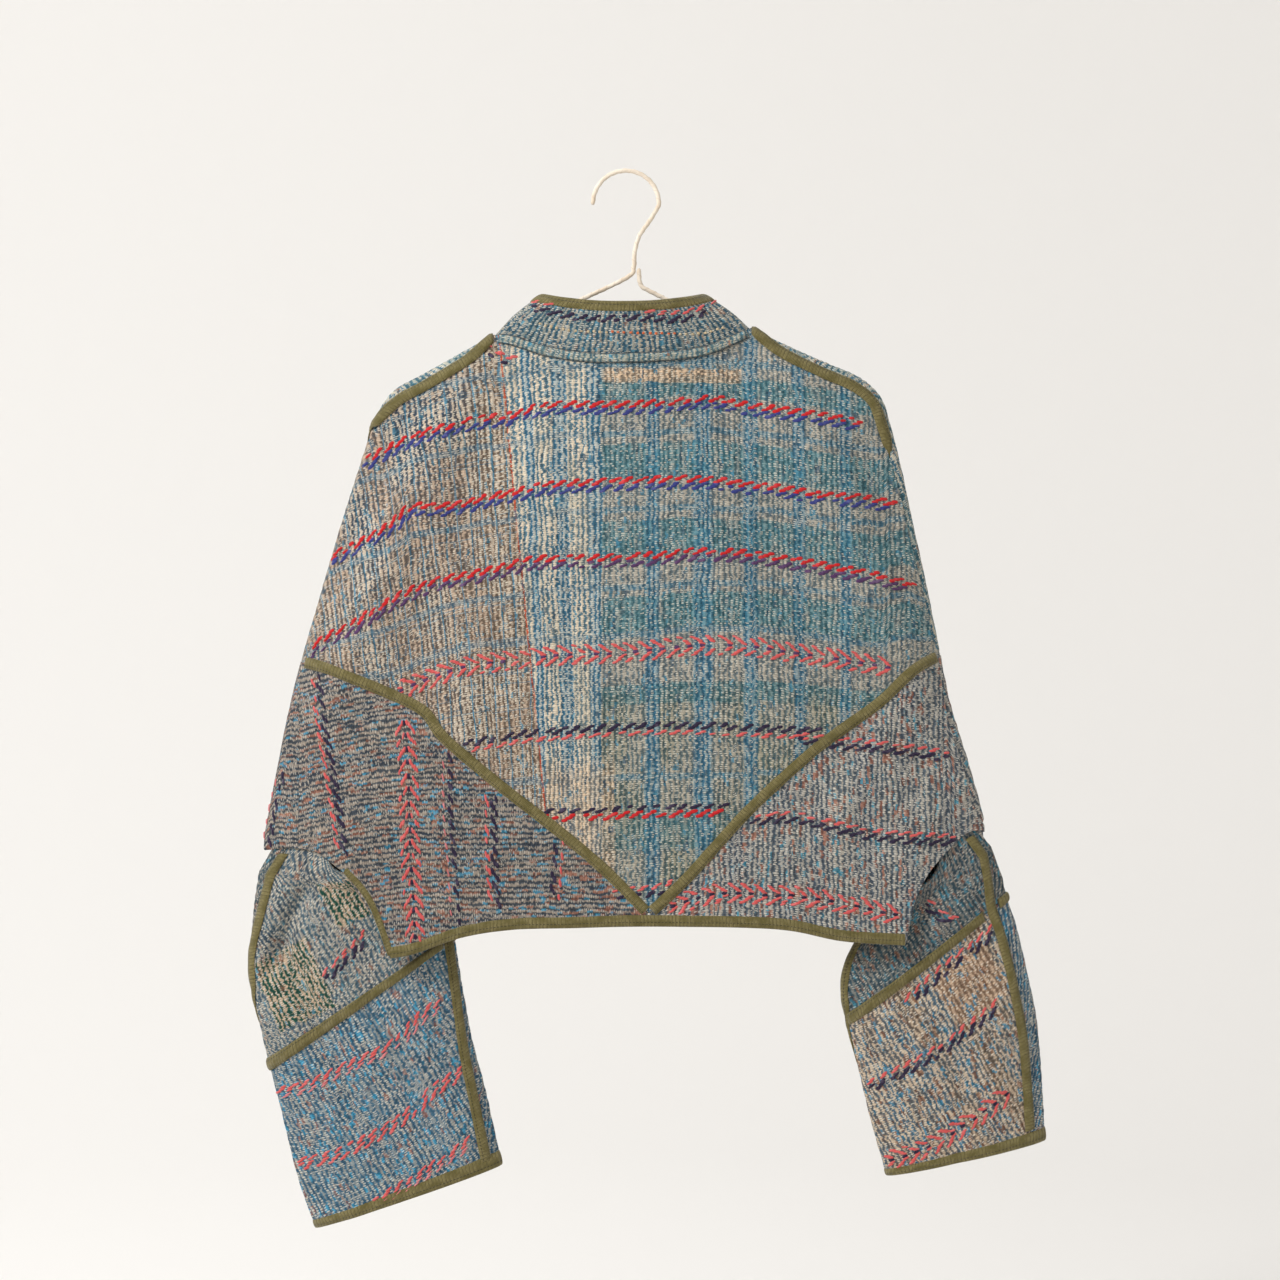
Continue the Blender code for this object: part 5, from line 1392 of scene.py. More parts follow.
def thread_material(name, colour):
    made, tree, shader = new_material(name + " thread", 0.75, sheen=0.25)
    place = Signal(node(tree, "ShaderNodeTexCoord").outputs["Object"])
    wave = node(tree, "ShaderNodeTexWave", {"Vector": place, "Scale": 700.0, "Distortion": 2.0})
    strand = Signal(wave.outputs["Fac"])
    uneven = grain_noise(place, 160.0)
    darker = shade(*[value * 0.72 for value in colour])
    mix = mixed(strand * 0.5, shade(*colour), darker)
    paler = shade(*[value + (255 - value) * 0.25 for value in colour])
    mix = mixed(soft_step(uneven, 0.5, 0.75) * 0.6, mix, paler)
    link(mix, shader.inputs["Base Color"])
    return made


thread_materials = {name: thread_material(name, colour) for name, colour in THREADS.items()}
draws = np.random.RandomState(21)


def frame_along(curve):
    """An even route along a band, with its direction and its upward side."""
    route, places = evenly_along(smooth_curve(curve, 6), MM)
    way = unit(np.gradient(route, axis=0))
    return route, places, way, np.stack([-way[:, 1], way[:, 0]], axis=1)


# How far apart the dashes of one step lie, along the band and up, in millimetres
STAIR_ALONG, STAIR_RISE = 3.6, 2.0


def stair_dashes(curve, upper, lower, rows=(3, 3), length=6.8, shift=0.0):
    """Steps of short dashes: the upper colour rising along the band, the lower one under it."""
    route, places, way, up = frame_along(curve)
    found = []
    for start in np.arange(3 * MM + shift, places[-1] - 2 * MM, STAIR_PITCH):
        start = start + draws.uniform(-0.7, 0.7) * MM
        for colour, count, side_shift, height in ((upper, rows[0], 0.0, 2.9), (lower, rows[1], -5.8, -3.1)):
            if colour is None:
                continue
            for row in range(count):
                if draws.rand() < 0.07:
                    continue
                middle = (count - 1) / 2
                along = start + (side_shift + (row - middle) * STAIR_ALONG + draws.uniform(-0.9, 0.9)) * MM
                rise = (height + (row - middle) * STAIR_RISE + draws.uniform(-0.3, 0.3)) * MM
                found.append((along, rise, draws.uniform(0.8, 1.15) * length * MM, 12.0, colour))
    return place_dashes(found, route, places, way, up)


ARROW_ROWS = 4
ARROW_REACH = 2.6
ARROW_DASH = 6.0


def arrow_dashes(curve, outer, middle_colour):
    """Arrow rows that point along the band, with one dark dash in each arrow."""
    route, places, way, up = frame_along(curve)
    found = []
    for start in np.arange(4 * MM, places[-1] - 3 * MM, STAIR_PITCH):
        start = start + draws.uniform(-0.5, 0.5) * MM
        for side in (1, -1):
            for row in range(ARROW_ROWS):
                if draws.rand() < 0.1:
                    continue
                along = start + (-(row + 0.5) * ARROW_REACH + draws.uniform(-0.5, 0.5)) * MM
                rise = side * (2.2 + row * 1.8 + draws.uniform(-0.2, 0.2)) * MM
                size = draws.uniform(0.85, 1.1) * ARROW_DASH * MM
                found.append((along, rise, size, -14.0 * side, outer))
        if draws.rand() > 0.12:
            found.append((start - 1.5 * MM, draws.uniform(-0.5, 0.5) * MM, 5.2 * MM, 8.0, middle_colour))
    return place_dashes(found, route, places, way, up)


def place_dashes(found, route, places, way, up):
    """Dashes as (x, z, direction, length, colour) on the flat front view."""
    rows = []
    for along, rise, length, tilt, colour in found:
        if not 0 < along < places[-1]:
            continue
        k = min(int(np.searchsorted(places, along)), len(places) - 1)
        spot = route[k] + up[k] * rise
        angle = math.radians(tilt)
        direction = way[k] * math.cos(angle) + up[k] * math.sin(angle)
        rows.append((*spot, *direction, length, colour))
    return rows


def surface_tree(names, side):
    """Search tree over the outer faces of panels that look to one side."""
    points, normals = [], []
    for name in names:
        outside, ways = outer_faces[name]
        facing = ways[..., 1] * side > 0.25
        points.append(outside[facing])
        normals.append(ways[facing])
    points, normals = np.concatenate(points), np.concatenate(normals)
    tree = kdtree.KDTree(len(points))
    for index, (x, _, z) in enumerate(points):
        tree.insert((x, 0, z), index)
    tree.balance()
    return tree, points, normals


DASH_STATIONS = np.array([-0.5, -0.3, 0.0, 0.3, 0.5])
DASH_GIRTH = np.array([0.35, 0.9, 1.0, 0.9, 0.35])


DASH_WIDTH = 2.7 * MM
DASH_HEIGHT = 0.9 * MM
# A dash is left out where its middle or an end lies farther than this from the cloth
MIDDLE_OFF, END_OFF = 2.5 * MM, 2.8 * MM


def sew_dashes(name, rows, surface):
    """Joined meshes of raised dashes on a surface, one mesh for each colour."""
    tree, points, normals = surface
    for colour in sorted({row[5] for row in rows}):
        solid, faces = [], []
        for x, z, dx, dz, length, _ in (row for row in rows if row[5] == colour):
            size = DASH_WIDTH * draws.uniform(0.8, 1.2) * FINER_THREADS.get(colour, 1.0)
            centre = tree.find((x, 0, z))
            ends = [tree.find((x + dx * length * k, 0, z + dz * length * k))[2] for k in (-0.5, 0.5)]
            if centre[2] > MIDDLE_OFF or max(ends) > END_OFF:
                continue
            base = len(solid)
            normal = normals[centre[1]]
            direction = np.array([dx, 0, dz])
            across = unit(np.cross(direction, normal))
            for station, girth in zip(DASH_STATIONS, DASH_GIRTH):
                spot = np.array([x, 0, z]) + direction * station * length
                near = tree.find(spot)[1]
                flat = (spot - points[near]) @ (normals[near] * np.array([1, 0, 1]))
                spot[1] = points[near, 1] - flat / normals[near, 1]
                lifted = spot + normal * (0.42 * MM if girth > 0.5 else -0.3 * MM)
                solid += [lifted + across * size / 2 * girth, lifted + normal * DASH_HEIGHT * girth,
                          lifted - across * size / 2 * girth, lifted - normal * 0.45 * MM]
            for ring in range(4):
                for k in range(4):
                    m = (k + 1) % 4
                    here, there = base + ring * 4, base + ring * 4 + 4
                    faces.append((here + k, there + k, there + m, here + m))
            faces.append((base, base + 1, base + 2, base + 3))
            faces.append((base + 19, base + 18, base + 17, base + 16))
        if solid:
            add_piece(f"{name}_{colour}", solid, faces, thread_materials[colour])


# No stitches on the front within this distance of its open edges
FRONT_EDGE_CLEAR = 16 * MM
back_surface = surface_tree(("upper_back_cloth", "lower_back_left_cloth", "lower_back_right_cloth"), BACK)
front_surface = surface_tree(front_names, FRONT)
upper_rows = []
for index, (upper, lower) in enumerate((("red", "navy"), ("red", "navy"), ("red", "plum"))):
    upper_rows += stair_dashes(BACK_BANDS[index], upper, lower, shift=index * 4 * MM)
upper_rows += arrow_dashes(BACK_BANDS[3], "salmon", "plum")
upper_rows += stair_dashes(BACK_BANDS[4], "purple", "salmon", rows=(3, 2))
upper_rows += stair_dashes(BACK_BANDS[5], "purple", "red", rows=(2, 3))
upper_rows += stair_dashes(((-12, -630), (20, -628), (50, -620)), "salmon", "purple", rows=(2, 2))
upper_rows += stair_dashes(((-124, -152), (-112, -163), (-95, -168)), "salmon", "purple", rows=(2, 1))
lower_rows = stair_dashes(RIGHT_BANDS[0], "salmon", "purple", rows=(2, 3))
lower_rows += stair_dashes(RIGHT_BANDS[1], "salmon", "purple", rows=(2, 3), shift=5 * MM)
lower_rows += arrow_dashes(RIGHT_BANDS[2], "salmon", "purple")
lower_rows += stair_dashes(LEFT_BANDS[0], "purple", "salmon", rows=(3, 2))
lower_rows += stair_dashes(((-303, -528), (-311, -560), (-316, -590)), "purple", "pink", rows=(2, 1))
lower_rows += arrow_dashes(LEFT_BANDS[1][::-1], "salmon", "purple")
lower_rows += stair_dashes(LEFT_BANDS[2], "purple", "pink", rows=(2, 1))
lower_rows += stair_dashes(LEFT_BANDS[3], "purple", "salmon", rows=(3, 2))
lower_rows += stair_dashes(LEFT_BANDS[4], "salmon", "purple", rows=(1, 2))
for name, rows in (("upper_back_stitches", upper_rows), ("lower_back_stitches", lower_rows)):
    sew_dashes(name, rows, back_surface)
    clear = [row for row in rows if abs(row[0] - FRONT_EDGE_X) > FRONT_EDGE_CLEAR]
    sew_dashes(name.replace("back", "front"), clear, front_surface)
COLLAR_LINE = (
    (-83, -117), (-66, -121.5), (-47, -126), (-24, -128), (16, -127.5), (32, -129), (55, -127),
    (71, -121.5), (80, -117),
)
COLLAR_DOTS = ((-79, -134), (-47, -141), (-15, -143), (32, -144), (63, -143), (84, -138))


DOT_PITCH = 5.4 * MM


def dot_row(curve, colour, start, end):
    """Single short stitches along a line, from one x to another."""
    route, places, way, up = frame_along(curve)
    found = []
    for along in np.arange(2 * MM, places[-1], DOT_PITCH):
        x = np.interp(along, places, route[:, 0])
        if start * MM < x < end * MM:
            along += draws.uniform(-0.4, 0.4) * MM
            found.append((along, draws.uniform(-0.5, 0.5) * MM, 2.6 * MM, 5.0, colour))
    return place_dashes(found, route, places, way, up)


collar_rows = stair_dashes(COLLAR_LINE, None, "purple", rows=(0, 3), length=6.0)
collar_rows += stair_dashes([(x, z + 0.4) for x, z in COLLAR_LINE[4:]], "salmon", None, rows=(2, 0))
collar_rows += stair_dashes([(x, z + 0.4) for x, z in COLLAR_LINE[:2]], "salmon", None, rows=(2, 0))
collar_rows += dot_row(COLLAR_DOTS, "straw", -80, -16) + dot_row(COLLAR_DOTS, "orange", -16, 42)
collar_rows += dot_row(COLLAR_DOTS, "straw", 42, 84)
sew_dashes("collar_stitches", collar_rows, surface_tree(("stand_collar_cloth",), BACK))
RIGHT_SLEEVE_LINE = ((245, -727), (278, -697), (297, -684), (324, -662))
sleeve_rows = {
    "left": {
        "upper": stair_dashes(((-264, -705), (-242, -684), (-221, -661)), "salmon", "purple", rows=(2, 3)),
        "lower": stair_dashes(LEFT_SLEEVE_BANDS[1], "salmon", "pink", rows=(3, 2))
        + stair_dashes(LEFT_SLEEVE_BANDS[2], "salmon", "salmon", rows=(2, 3), shift=3 * MM)
        + stair_dashes(LEFT_SLEEVE_BANDS[3], "salmon", "pink", rows=(3, 2)),
    },
    "right": {
        "upper": stair_dashes(((262, -640), (276, -652), (290, -658)), "salmon", "purple", rows=(2, 3)),
        "lower": stair_dashes(RIGHT_SLEEVE_BANDS[1], "salmon", "purple", rows=(2, 3))
        + stair_dashes(RIGHT_SLEEVE_LINE, "salmon", "purple", rows=(2, 3))
        + arrow_dashes(RIGHT_SLEEVE_BANDS[2], "salmon", "purple"),
    },
}
for name, parts in sleeve_rows.items():
    for part, rows in parts.items():
        for side, place in ((BACK, "back"), (FRONT, "front")):
            surface = surface_tree([f"{part}_sleeve_{place}_{name}_cloth"], side)
            sew_dashes(f"{part}_sleeve_{place}_{name}_stitches", rows, surface)


# Binding: a ribbed olive cotton tape, folded and sewn over every seam and round every raw
# edge. It is laid on as a soft rounded strip that puckers a little between its stitches.
TAPE_WIDTH = 9.6 * MM
TAPE_HEIGHT = 2.5 * MM
TAPE_STEP = 3.0 * MM
STITCH_LENGTH = 3.1 * MM


def tape_material(name, base, light, painted_shade, stitch):
    made, tree, shader = new_material(name, 0.8, sheen=0.2)
    tape = map_place(tree, "tape")
    spot = numbers(tape)
    rib = zigzag(spot[0] / (1.15 * MM))
    worn = grain_noise(stretched(tape, 90, 160), 1.0, 3.0)
    fine = grain_noise(stretched(tape, 900, 700), 1.0, 2.0)
    colour = mixed(soft_step(worn, 0.35, 0.65), shade(*base), shade(*light))
    # Painted shade in the valleys between the ribs
    rib_valley_shade = soft_step(rib, 0.45, 0.05) * 0.7
    colour = mixed(rib_valley_shade, colour, shade(*painted_shade))
    gather_place = spot[0] / STITCH_LENGTH + worn * 1.6
    gather = zigzag(gather_place)
    # Painted shade in the creases where the tape puckers between its stitches
    crease = soft_step(gather, 0.35, 0.0) * soft_step(worn, 0.4, 0.6)
    colour = mixed(crease * 0.8, colour, shade(*painted_shade))
    flecked = soft_step(fine, 0.6, 0.72) * 0.5
    colour = mixed(flecked, colour, shade(*light))
    line = calc("LESS_THAN", calc("ABSOLUTE", spot[1] - 2.2 * MM), 0.32 * MM)
    dash = calc("LESS_THAN", calc("FRACT", spot[0] / STITCH_LENGTH), 0.62)
    colour = mixed(line * dash * 0.8, colour, shade(*stitch))
    link(colour, shader.inputs["Base Color"])
    raise_surface(shader, rib + fine * 0.5 + gather * 0.9 - line * 0.9, 0.45 * MM, 0.9)
    return made


# The third colour is the painted shade in the tape's rib valleys and pucker creases
olive_tape = tape_material("olive tape", (106, 97, 52), (138, 127, 82), (56, 50, 24), (44, 40, 22))


def tape_solid(name, points, normals, thickness, around, run, material, closed=False):
    """Closed strip: each station's points are moved out along their normals."""
    solid = points + normals * thickness[..., None]
    sides = solid.shape[1]
    faces = tube_faces(len(solid), sides, closed)
    middle = solid.mean(axis=1)
    first = np.array([solid.reshape(-1, 3)[k] for k in faces[0]])
    out = np.cross(first[1] - first[0], first[2] - first[0])
    if out @ (first.mean(axis=0) - middle[0]) < 0:
        faces = [face[::-1] for face in faces]
    spread = np.stack([np.broadcast_to(run[:, None], thickness.shape), around], -1).reshape(-1, 2)
    maps = {"tape": spread} if material is olive_tape else {"grain": spread, "place": spread}
    return add_piece(name, solid.reshape(-1, 3), faces, material, maps, 70)


def run_length(points):
    return np.concatenate([[0], np.cumsum(np.linalg.norm(np.diff(points, axis=0), axis=1))])


def puckers(run, seed):
    """Small rises and pinches along a sewn tape, from -1 to 1."""
    small = lattice_noise(run / (6.5 * MM), run * 0 + seed, seed)
    return 0.6 * small + 0.4 * lattice_noise(run / (17 * MM), run * 0, seed)


def finish_tape(piece, node_name):
    """Hides the CAD node of a tape and returns the tape."""
    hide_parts(node_name)
    return piece


TAPE_TOP = np.array([-1.0, -0.86, -0.5, 0.0, 0.5, 0.86, 1.0])


def lay_tape(
    node_name, surface, count, width=TAPE_WIDTH, height=TAPE_HEIGHT, lift=0.2 * MM, cloth=None, sink=0,
):
    """A rounded strip over a seam, in olive tape or a cloth.

    surface(i, s) gives points and normals at station i and side s. sink, one number a
    station, draws the strip in and under the cloth.
    """
    index, share = np.meshgrid(np.arange(count), np.concatenate([TAPE_TOP, [0.7, 0, -0.7]]), indexing="ij")
    middle = surface(np.arange(count), np.zeros(count))[0]
    run = run_length(middle)
    pucker = puckers(run, len(node_name))[:, None]
    sink = np.broadcast_to(np.asarray(sink, float), (count,))[:, None]
    spread = share * (1 + 0.05 * pucker) * (width - 5 * MM * sink) / 2
    points, normals = surface(index, spread)
    top = np.arange(len(TAPE_TOP) + 3) < len(TAPE_TOP)
    crown = np.sqrt(np.clip(1 - np.abs(share) ** 2.4, 0, 1)) * (1 + 0.14 * pucker)
    ends = np.clip(np.minimum(run, run[-1] - run)[:, None] / (3 * MM), 0.5, 1)
    edge = np.where(np.abs(share) > 0.95, 0.22, 0)
    thickness = CLOTH / 2 + lift + np.where(top, np.maximum(crown, edge) * height * ends, -0.5 * MM)
    thickness = thickness - sink * 5.2 * MM
    name = node_name + ("_strip" if cloth else "_tape")
    return tape_solid(name, points, normals, thickness, (share + 1) * width / 2, run, cloth or olive_tape)


def route_surface(side, route):
    """Surface across a route of (x, z) on one side of the body."""
    run = unit(np.gradient(route, axis=0))
    across = np.stack([-run[:, 1], run[:, 0]], axis=1)

    def surface(index, offset):
        place = route[index] + across[index] * offset[..., None]
        return body_points(side, place[..., 0], place[..., 1])
    return surface


def seam_surface(edge, xs):
    """Surface across the overarm seam, which runs along the folded outline."""
    rows = np.stack([xs, *[at_x(edge, xs, k) for k in (1, 2, 3)]], axis=1)
    near = at_x(edge, xs + np.where(xs < 0, MM, -MM))
    way = unit(np.stack([near - rows[:, 1], np.where(xs < 0, -MM, MM)], axis=1))
    way = np.where(way[:, 1:] > 0, -way, way)
    middle = fold_arc(rows[:, 2], rows[:, 3])

    def surface(index, offset):
        arc = middle[index] + offset
        away = fold_offset(arc, rows[index, 3])
        side = np.where(away >= 0, BACK, FRONT)
        place = rows[index, :2] + way[index] * np.abs(away)[..., None]
        return body_points(side, place[..., 0], place[..., 1])
    return surface


def route_at(height, start, end):
    """An even route from one x to another at the height that each x has."""
    x = np.linspace(start, end, max(int((end - start) / TAPE_STEP), 2) + 1)
    return evenly_along(np.stack([x, height(x)], axis=1), TAPE_STEP)[0]


def v_height(x):
    return at_x(v_seam, x)


for node_name, side, start, end in (
    ("v_binding_back_left", BACK, v_left_x + 5 * MM, v_tip_x - 3 * MM),
    ("v_binding_back_right", BACK, v_tip_x + 3 * MM, v_right_x - 5 * MM),
    ("v_binding_front_left", FRONT, v_left_x + 12 * MM, edge_left - 6 * MM),
    ("v_binding_front_right", FRONT, edge_right + 18 * MM, v_right_x - 6 * MM),
):
    route = route_at(v_height, start, end)
    piece = lay_tape(node_name, route_surface(side, route), len(route))
    finish_tape(piece, node_name)

for node_name, edge, far_end in (
    ("shoulder_binding_left", left_edge, left_edge[-1, 0] + 6 * MM),
    ("shoulder_binding_right", right_edge, right_edge[-1, 0] - 8 * MM),
):
    x = np.linspace(edge[0, 0], far_end, 400)
    seam_line, _ = evenly_along(np.stack([x, at_x(edge, x)], axis=1), TAPE_STEP)
    surface = seam_surface(edge, seam_line[:, 0])
    sink = smoothstep((-seam_line[:, 1] - LAP_START + 4 * MM) / (30 * MM)) * (edge is right_edge)
    piece = lay_tape(node_name, surface, len(seam_line), lift=0.5 * MM, sink=sink)
    finish_tape(piece, node_name)


EDGE_HEIGHT = 10.4 * MM
EDGE_SECTION = np.linspace(0, 2 * math.pi, 15)[:-1]


def edge_ups(height=EDGE_HEIGHT, below=MM):
    """How far above the raw edge each point of the folded tape's section lies."""
    return height / 2 - below + np.cos(EDGE_SECTION) * height / 2


def edge_tape(node_name, points, normals, ups, seed=None, closed=False, height=EDGE_HEIGHT, thick=2.1 * MM):
    """Tape folded round a raw edge: a flat loop of section whose middle is the cloth."""
    middle = points[:, points.shape[1] // 2]
    run = run_length(middle)
    pucker = puckers(run, seed or len(node_name))[:, None]
    if closed:
        pucker = pucker * np.clip(np.minimum(run, run[-1] - run)[:, None] / (9 * MM), 0, 1)
    lift = np.sign(np.sin(EDGE_SECTION)) * np.abs(np.sin(EDGE_SECTION)) ** 0.6 * thick
    thickness = lift[None, :] * (1 + 0.16 * pucker)
    around = np.broadcast_to(height / 2 - ups, thickness.shape)
    return tape_solid(node_name + "_tape", points, normals, thickness, around, run, olive_tape, closed)


for node_name, side, start, end in (
    ("hem_binding_back", BACK, corner_left_x + MM, corner_right_x - MM),
    ("hem_binding_front_left", FRONT, corner_left_x + MM, edge_left),
    ("hem_binding_front_right", FRONT, edge_right, corner_right_x - MM),
):
    route = route_at(lambda x: at_x(hem[side], x), start, end)
    x = np.broadcast_to(route[:, :1], (len(route), EDGE_SECTION.size))
    z = route[:, 1:] + edge_ups()[None, :]
    points, normals = body_points(side, x, z)
    piece = edge_tape(node_name, points, normals, edge_ups())
    finish_tape(piece, node_name)

for name, x_edge, inward in (("left", edge_left, -1), ("right", edge_right, 1)):
    node_name = f"front_edge_binding_{name}"
    top, bottom = at_x(neckline[FRONT], x_edge) - 3 * MM, at_x(hem[FRONT], x_edge) + 9 * MM
    z = np.linspace(top, bottom, int((top - bottom) / (3 * MM)))
    z = np.broadcast_to(z[:, None], (len(z), EDGE_SECTION.size))
    x = x_edge + inward * np.broadcast_to(edge_ups(below=0.8 * MM)[None, :], z.shape)
    points, normals = body_points(FRONT, x, z)
    piece = edge_tape(node_name, points, normals, edge_ups())
    finish_tape(piece, node_name)

# On the back the armhole's tape is turned under: all of it on the right, the upper part on the left
ARMHOLE_TAPE_HEIGHT = 6.4 * MM
for name, inward, shown_from in (("left", 1, 0.43), ("right", -1, 1.2)):
    for side, place in ((BACK, "back"), (FRONT, "front")):
        curve = armhole[name]
        lengths = run_length(curve)
        share = np.linspace(0.06, 0.99, 64)
        wanted = share * lengths[-1]
        under = 1 - smoothstep((share - shown_from) / 0.08) if side == BACK else 0 * share
        route = np.stack([np.interp(wanted, lengths, curve[:, k]) for k in (0, 1)], axis=1)
        way = unit(np.gradient(route, axis=0))
        into = np.stack([way[:, 1], -way[:, 0]], axis=1)
        into = np.where((into * np.array([inward, 1.0])).sum(1, keepdims=True) < 0, -into, into)
        ups = edge_ups(height=ARMHOLE_TAPE_HEIGHT, below=0.6 * MM)
        spot = route[:, None] + into[:, None] * ups[None, :, None]
        spot = spot + (into * under[:, None])[:, None] * 2.2 * MM
        points, normals = body_points(side, spot[..., 0], spot[..., 1])
        points = points - normals * (under * 3.4 * MM)[:, None, None]
        node_name = f"armhole_binding_{place}_{name}"
        piece = edge_tape(node_name, points, normals, ups, height=ARMHOLE_TAPE_HEIGHT, thick=1.9 * MM)
        finish_tape(piece, node_name)



def metres_a_ring(name, first, last):
    """Distance between two rings of a sleeve at its back, for each whole ring."""
    turn = np.array([1.5])
    change = sleeve_middle(name, np.array([last]), turn) - sleeve_middle(name, np.array([first]), turn)
    return np.linalg.norm(change) / (last - first)


lengthwise = np.concatenate([np.linspace(0.4, ELBOW_RING, 72)[:-1], np.linspace(ELBOW_RING, 8.8, 60)])
for name in ("left", "right"):
    for seam_name, index, first in (("overarm", 0, 0.4), ("underarm", 1, 3.0 if name == "left" else 1.6)):
        rings = lengthwise[lengthwise >= first]
        turn = seam_turns(name, rings)[index]
        change = sleeve_middle(name, rings, turn + 0.05) - sleeve_middle(name, rings, turn - 0.05)
        pace = np.linalg.norm(change, axis=1) / 0.1

        def surface(at, offset, rings=rings, turn=turn, pace=pace, name=name):
            turns = turn[at] + offset / np.maximum(pace[at], 12 * MM)
            return sleeve_surface(name, rings[at] + 0.0 * offset, turns)
        node_name = f"{seam_name}_binding_{name}"
        length = run_length(sleeve_middle(name, rings, turn))[-1]
        piece = lay_tape(node_name, surface, len(rings), lift=0.3 * MM)
        finish_tape(piece, node_name)
    elbow = np.array([float(ELBOW_RING)])
    overarm, underarm = (float(value[0]) for value in seam_turns(name, elbow))
    pace = metres_a_ring(name, ELBOW_RING - 0.1, ELBOW_RING + 0.1)
    for place, start, end in (("back", overarm, underarm), ("front", underarm, overarm + 2 * math.pi)):
        turns = np.linspace(start + 0.16, end - 0.16, 56)

        def surface(at, offset, turns=turns, pace=pace, name=name):
            return sleeve_surface(name, ELBOW_RING + offset / pace, turns[at] + 0.0 * offset)
        node_name = f"elbow_binding_{place}_{name}"
        length = run_length(sleeve_middle(name, ELBOW_RING + 0 * turns, turns))[-1]
        finish_tape(lay_tape(node_name, surface, len(turns)), node_name)
    turns = np.linspace(0, 2 * math.pi, 121)[:-1]
    cuff_pace = metres_a_ring(name, CUFF_RING - 0.21, CUFF_RING - 0.01)
    ups = edge_ups()
    turn_grid, up_grid = np.meshgrid(turns, ups, indexing="ij")
    ring_grid = np.minimum(CUFF_RING - up_grid / cuff_pace, CUFF_RING)
    points, normals = sleeve_surface(name, ring_grid, turn_grid)
    past = np.maximum(-up_grid, 0)
    points[..., 2] -= past
    piece = edge_tape(f"cuff_binding_{name}", points, normals, ups, seed=7, closed=True)
    finish_tape(piece, f"cuff_binding_{name}")

angles = collar_angle[::3]
ups = edge_ups()
angle_grid, up_grid = np.meshgrid(angles, ups, indexing="ij")
points, normals = collar_surface(angle_grid, 1 - up_grid / COLLAR_HEIGHT)
piece = edge_tape("collar_binding", points, normals, ups, seed=9)
finish_tape(piece, "collar_binding")

# Neck band: a strip of the jacket's own quilted cloth, its edges turned under, sewn over the
# seam between collar and body. It stands up rounded along the neckline, in three lengths.
BAND_WIDTH = 9.0 * MM
BAND_HEIGHT = 3.0 * MM
band_cloth = lower_material(
    "neck band cloth", (84, 134, 152), (184, 178, 158), (96, 140, 152), (164, 164, 148),
    weft=(150, 160, 156), weft_amount=0.5, thread_amount=0.5, fleck_one_amount=0.03, fleck_two_amount=0.06,
)
across_band = numbers(map_place(band_cloth.node_tree, "grain"))[1]
# Painted shadow along both edges of the band, where it stands up off the cloth
band_edge_shadow = soft_step(calc("ABSOLUTE", across_band - BAND_WIDTH / 2), 2.9 * MM, 3.9 * MM) * 0.8
band_look = band_cloth.node_tree.nodes["Principled BSDF"].inputs["Base Color"]
link(mixed(band_edge_shadow, band_look.links[0].from_socket, shade(44, 52, 58)), band_look)
neck_ends = (neck_left_x + 5 * MM, neck_right_x - 5 * MM)
for node_name, side, start, end in (
    ("collar_band_back", BACK, *neck_ends),
    ("collar_band_front_left", FRONT, neck_ends[0], edge_left),
    ("collar_band_front_right", FRONT, edge_right, neck_ends[1]),
):
    route = route_at(lambda x: at_x(neckline[side], x), start, end)
    way = unit(np.gradient(route, axis=0))
    route = route + np.stack([way[:, 1], -way[:, 0]], axis=1) * (BAND_WIDTH / 2 - 1.4 * MM)
    surface = route_surface(side, route)
    piece = lay_tape(node_name, surface, len(route), width=BAND_WIDTH, height=BAND_HEIGHT, cloth=band_cloth)
    finish_tape(piece, node_name)


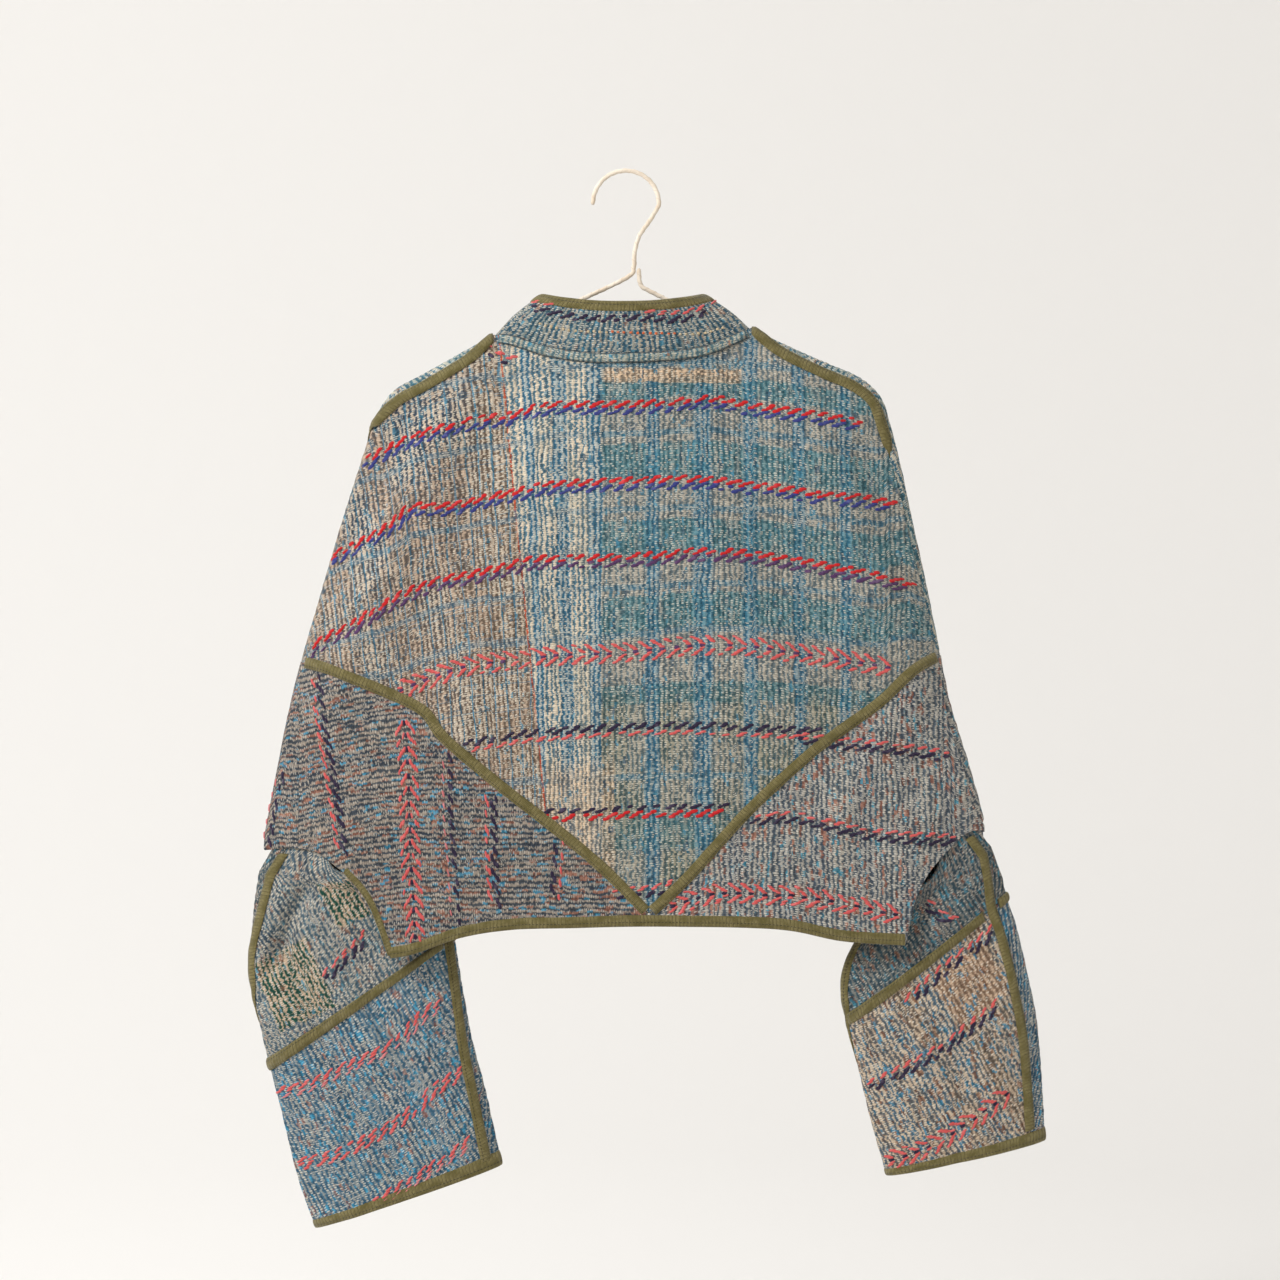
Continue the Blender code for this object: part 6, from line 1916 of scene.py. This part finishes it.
# Floor and studio: one pale sheet that rises all round in a long curve. A soft key light stands
# at the left and a broad weak one at the right, a third lights the sheet, and the sky is pale.
FLOOR_Z = -1.3
FLOOR_RADIUS = 2.2
WALL_CURVE = 3.0
WALL_TOP = 4.5
FLOOR_SIDES = 96
floor_rings = [(FLOOR_RADIUS, FLOOR_Z)]
for turn in np.linspace(0, math.pi / 2, 25)[1:]:
    rise = WALL_CURVE * (1 - math.cos(turn))
    floor_rings.append((FLOOR_RADIUS + WALL_CURVE * math.sin(turn), FLOOR_Z + rise))
floor_rings.append((FLOOR_RADIUS + WALL_CURVE, WALL_TOP))
floor_points, floor_faces = [(0.0, 0.0, FLOOR_Z)], []
for radius, height in floor_rings:
    for k in range(FLOOR_SIDES):
        angle = 2 * math.pi * k / FLOOR_SIDES
        floor_points.append((radius * math.cos(angle), radius * math.sin(angle), height))
for k in range(FLOOR_SIDES):
    m = (k + 1) % FLOOR_SIDES
    floor_faces.append((0, 1 + k, 1 + m))
    for ring in range(len(floor_rings) - 1):
        here, there = 1 + ring * FLOOR_SIDES, 1 + (ring + 1) * FLOOR_SIDES
        floor_faces.append((here + k, there + k, there + m, here + m))
floor_mesh = bpy.data.meshes.new("floor")
floor_mesh.from_pydata(floor_points, [], floor_faces)
floor_mesh.shade_smooth()
floor = bpy.data.objects.new("floor", floor_mesh)
bpy.context.scene.collection.objects.link(floor)
paper, _, shader = new_material("pale paper", 0.95)
shader.inputs["Base Color"].default_value = shade(237, 235, 232)
floor_mesh.materials.append(paper)
world = bpy.data.worlds.new("studio")
world.use_nodes = True
sky = world.node_tree.nodes["Background"].inputs
sky["Color"].default_value = shade(250, 250, 250)
sky["Strength"].default_value = 0.58
bpy.context.scene.world = world
bpy.context.scene.view_settings.view_transform = "Standard"
JACKET_MIDDLE, BACK_WALL = (0, 0, -0.45), (0, 5.2, 0.2)
for name, location, size, power, target in (
    ("key", (-1.9, -1.7, 1.2), 0.8, 72.0, JACKET_MIDDLE),
    ("fill", (1.9, -2.4, 0.2), 2.0, 6.0, JACKET_MIDDLE),
    ("backdrop", (-1.6, 1.0, 2.4), 3.0, 75.0, BACK_WALL),
):
    bpy.ops.object.light_add(type="AREA", location=location)
    lamp = bpy.context.object
    lamp.name = name
    lamp.data.size = size
    lamp.data.energy = power
    aim = np.array(target) - np.array(location)
    lamp.rotation_euler = (math.atan2(math.hypot(aim[0], aim[1]), -aim[2]), 0, math.atan2(-aim[0], aim[1]))

# The camera faces the jacket's back squarely, about level with its middle, as in the photo
CAMERA_PLACE = (0.0114, -2.3, -0.411)
CAMERA_LENS = 73.5
bpy.ops.object.camera_add(location=CAMERA_PLACE, rotation=(math.pi / 2, 0, 0))
camera = bpy.context.object
camera.data.lens = CAMERA_LENS
bpy.context.scene.camera = camera
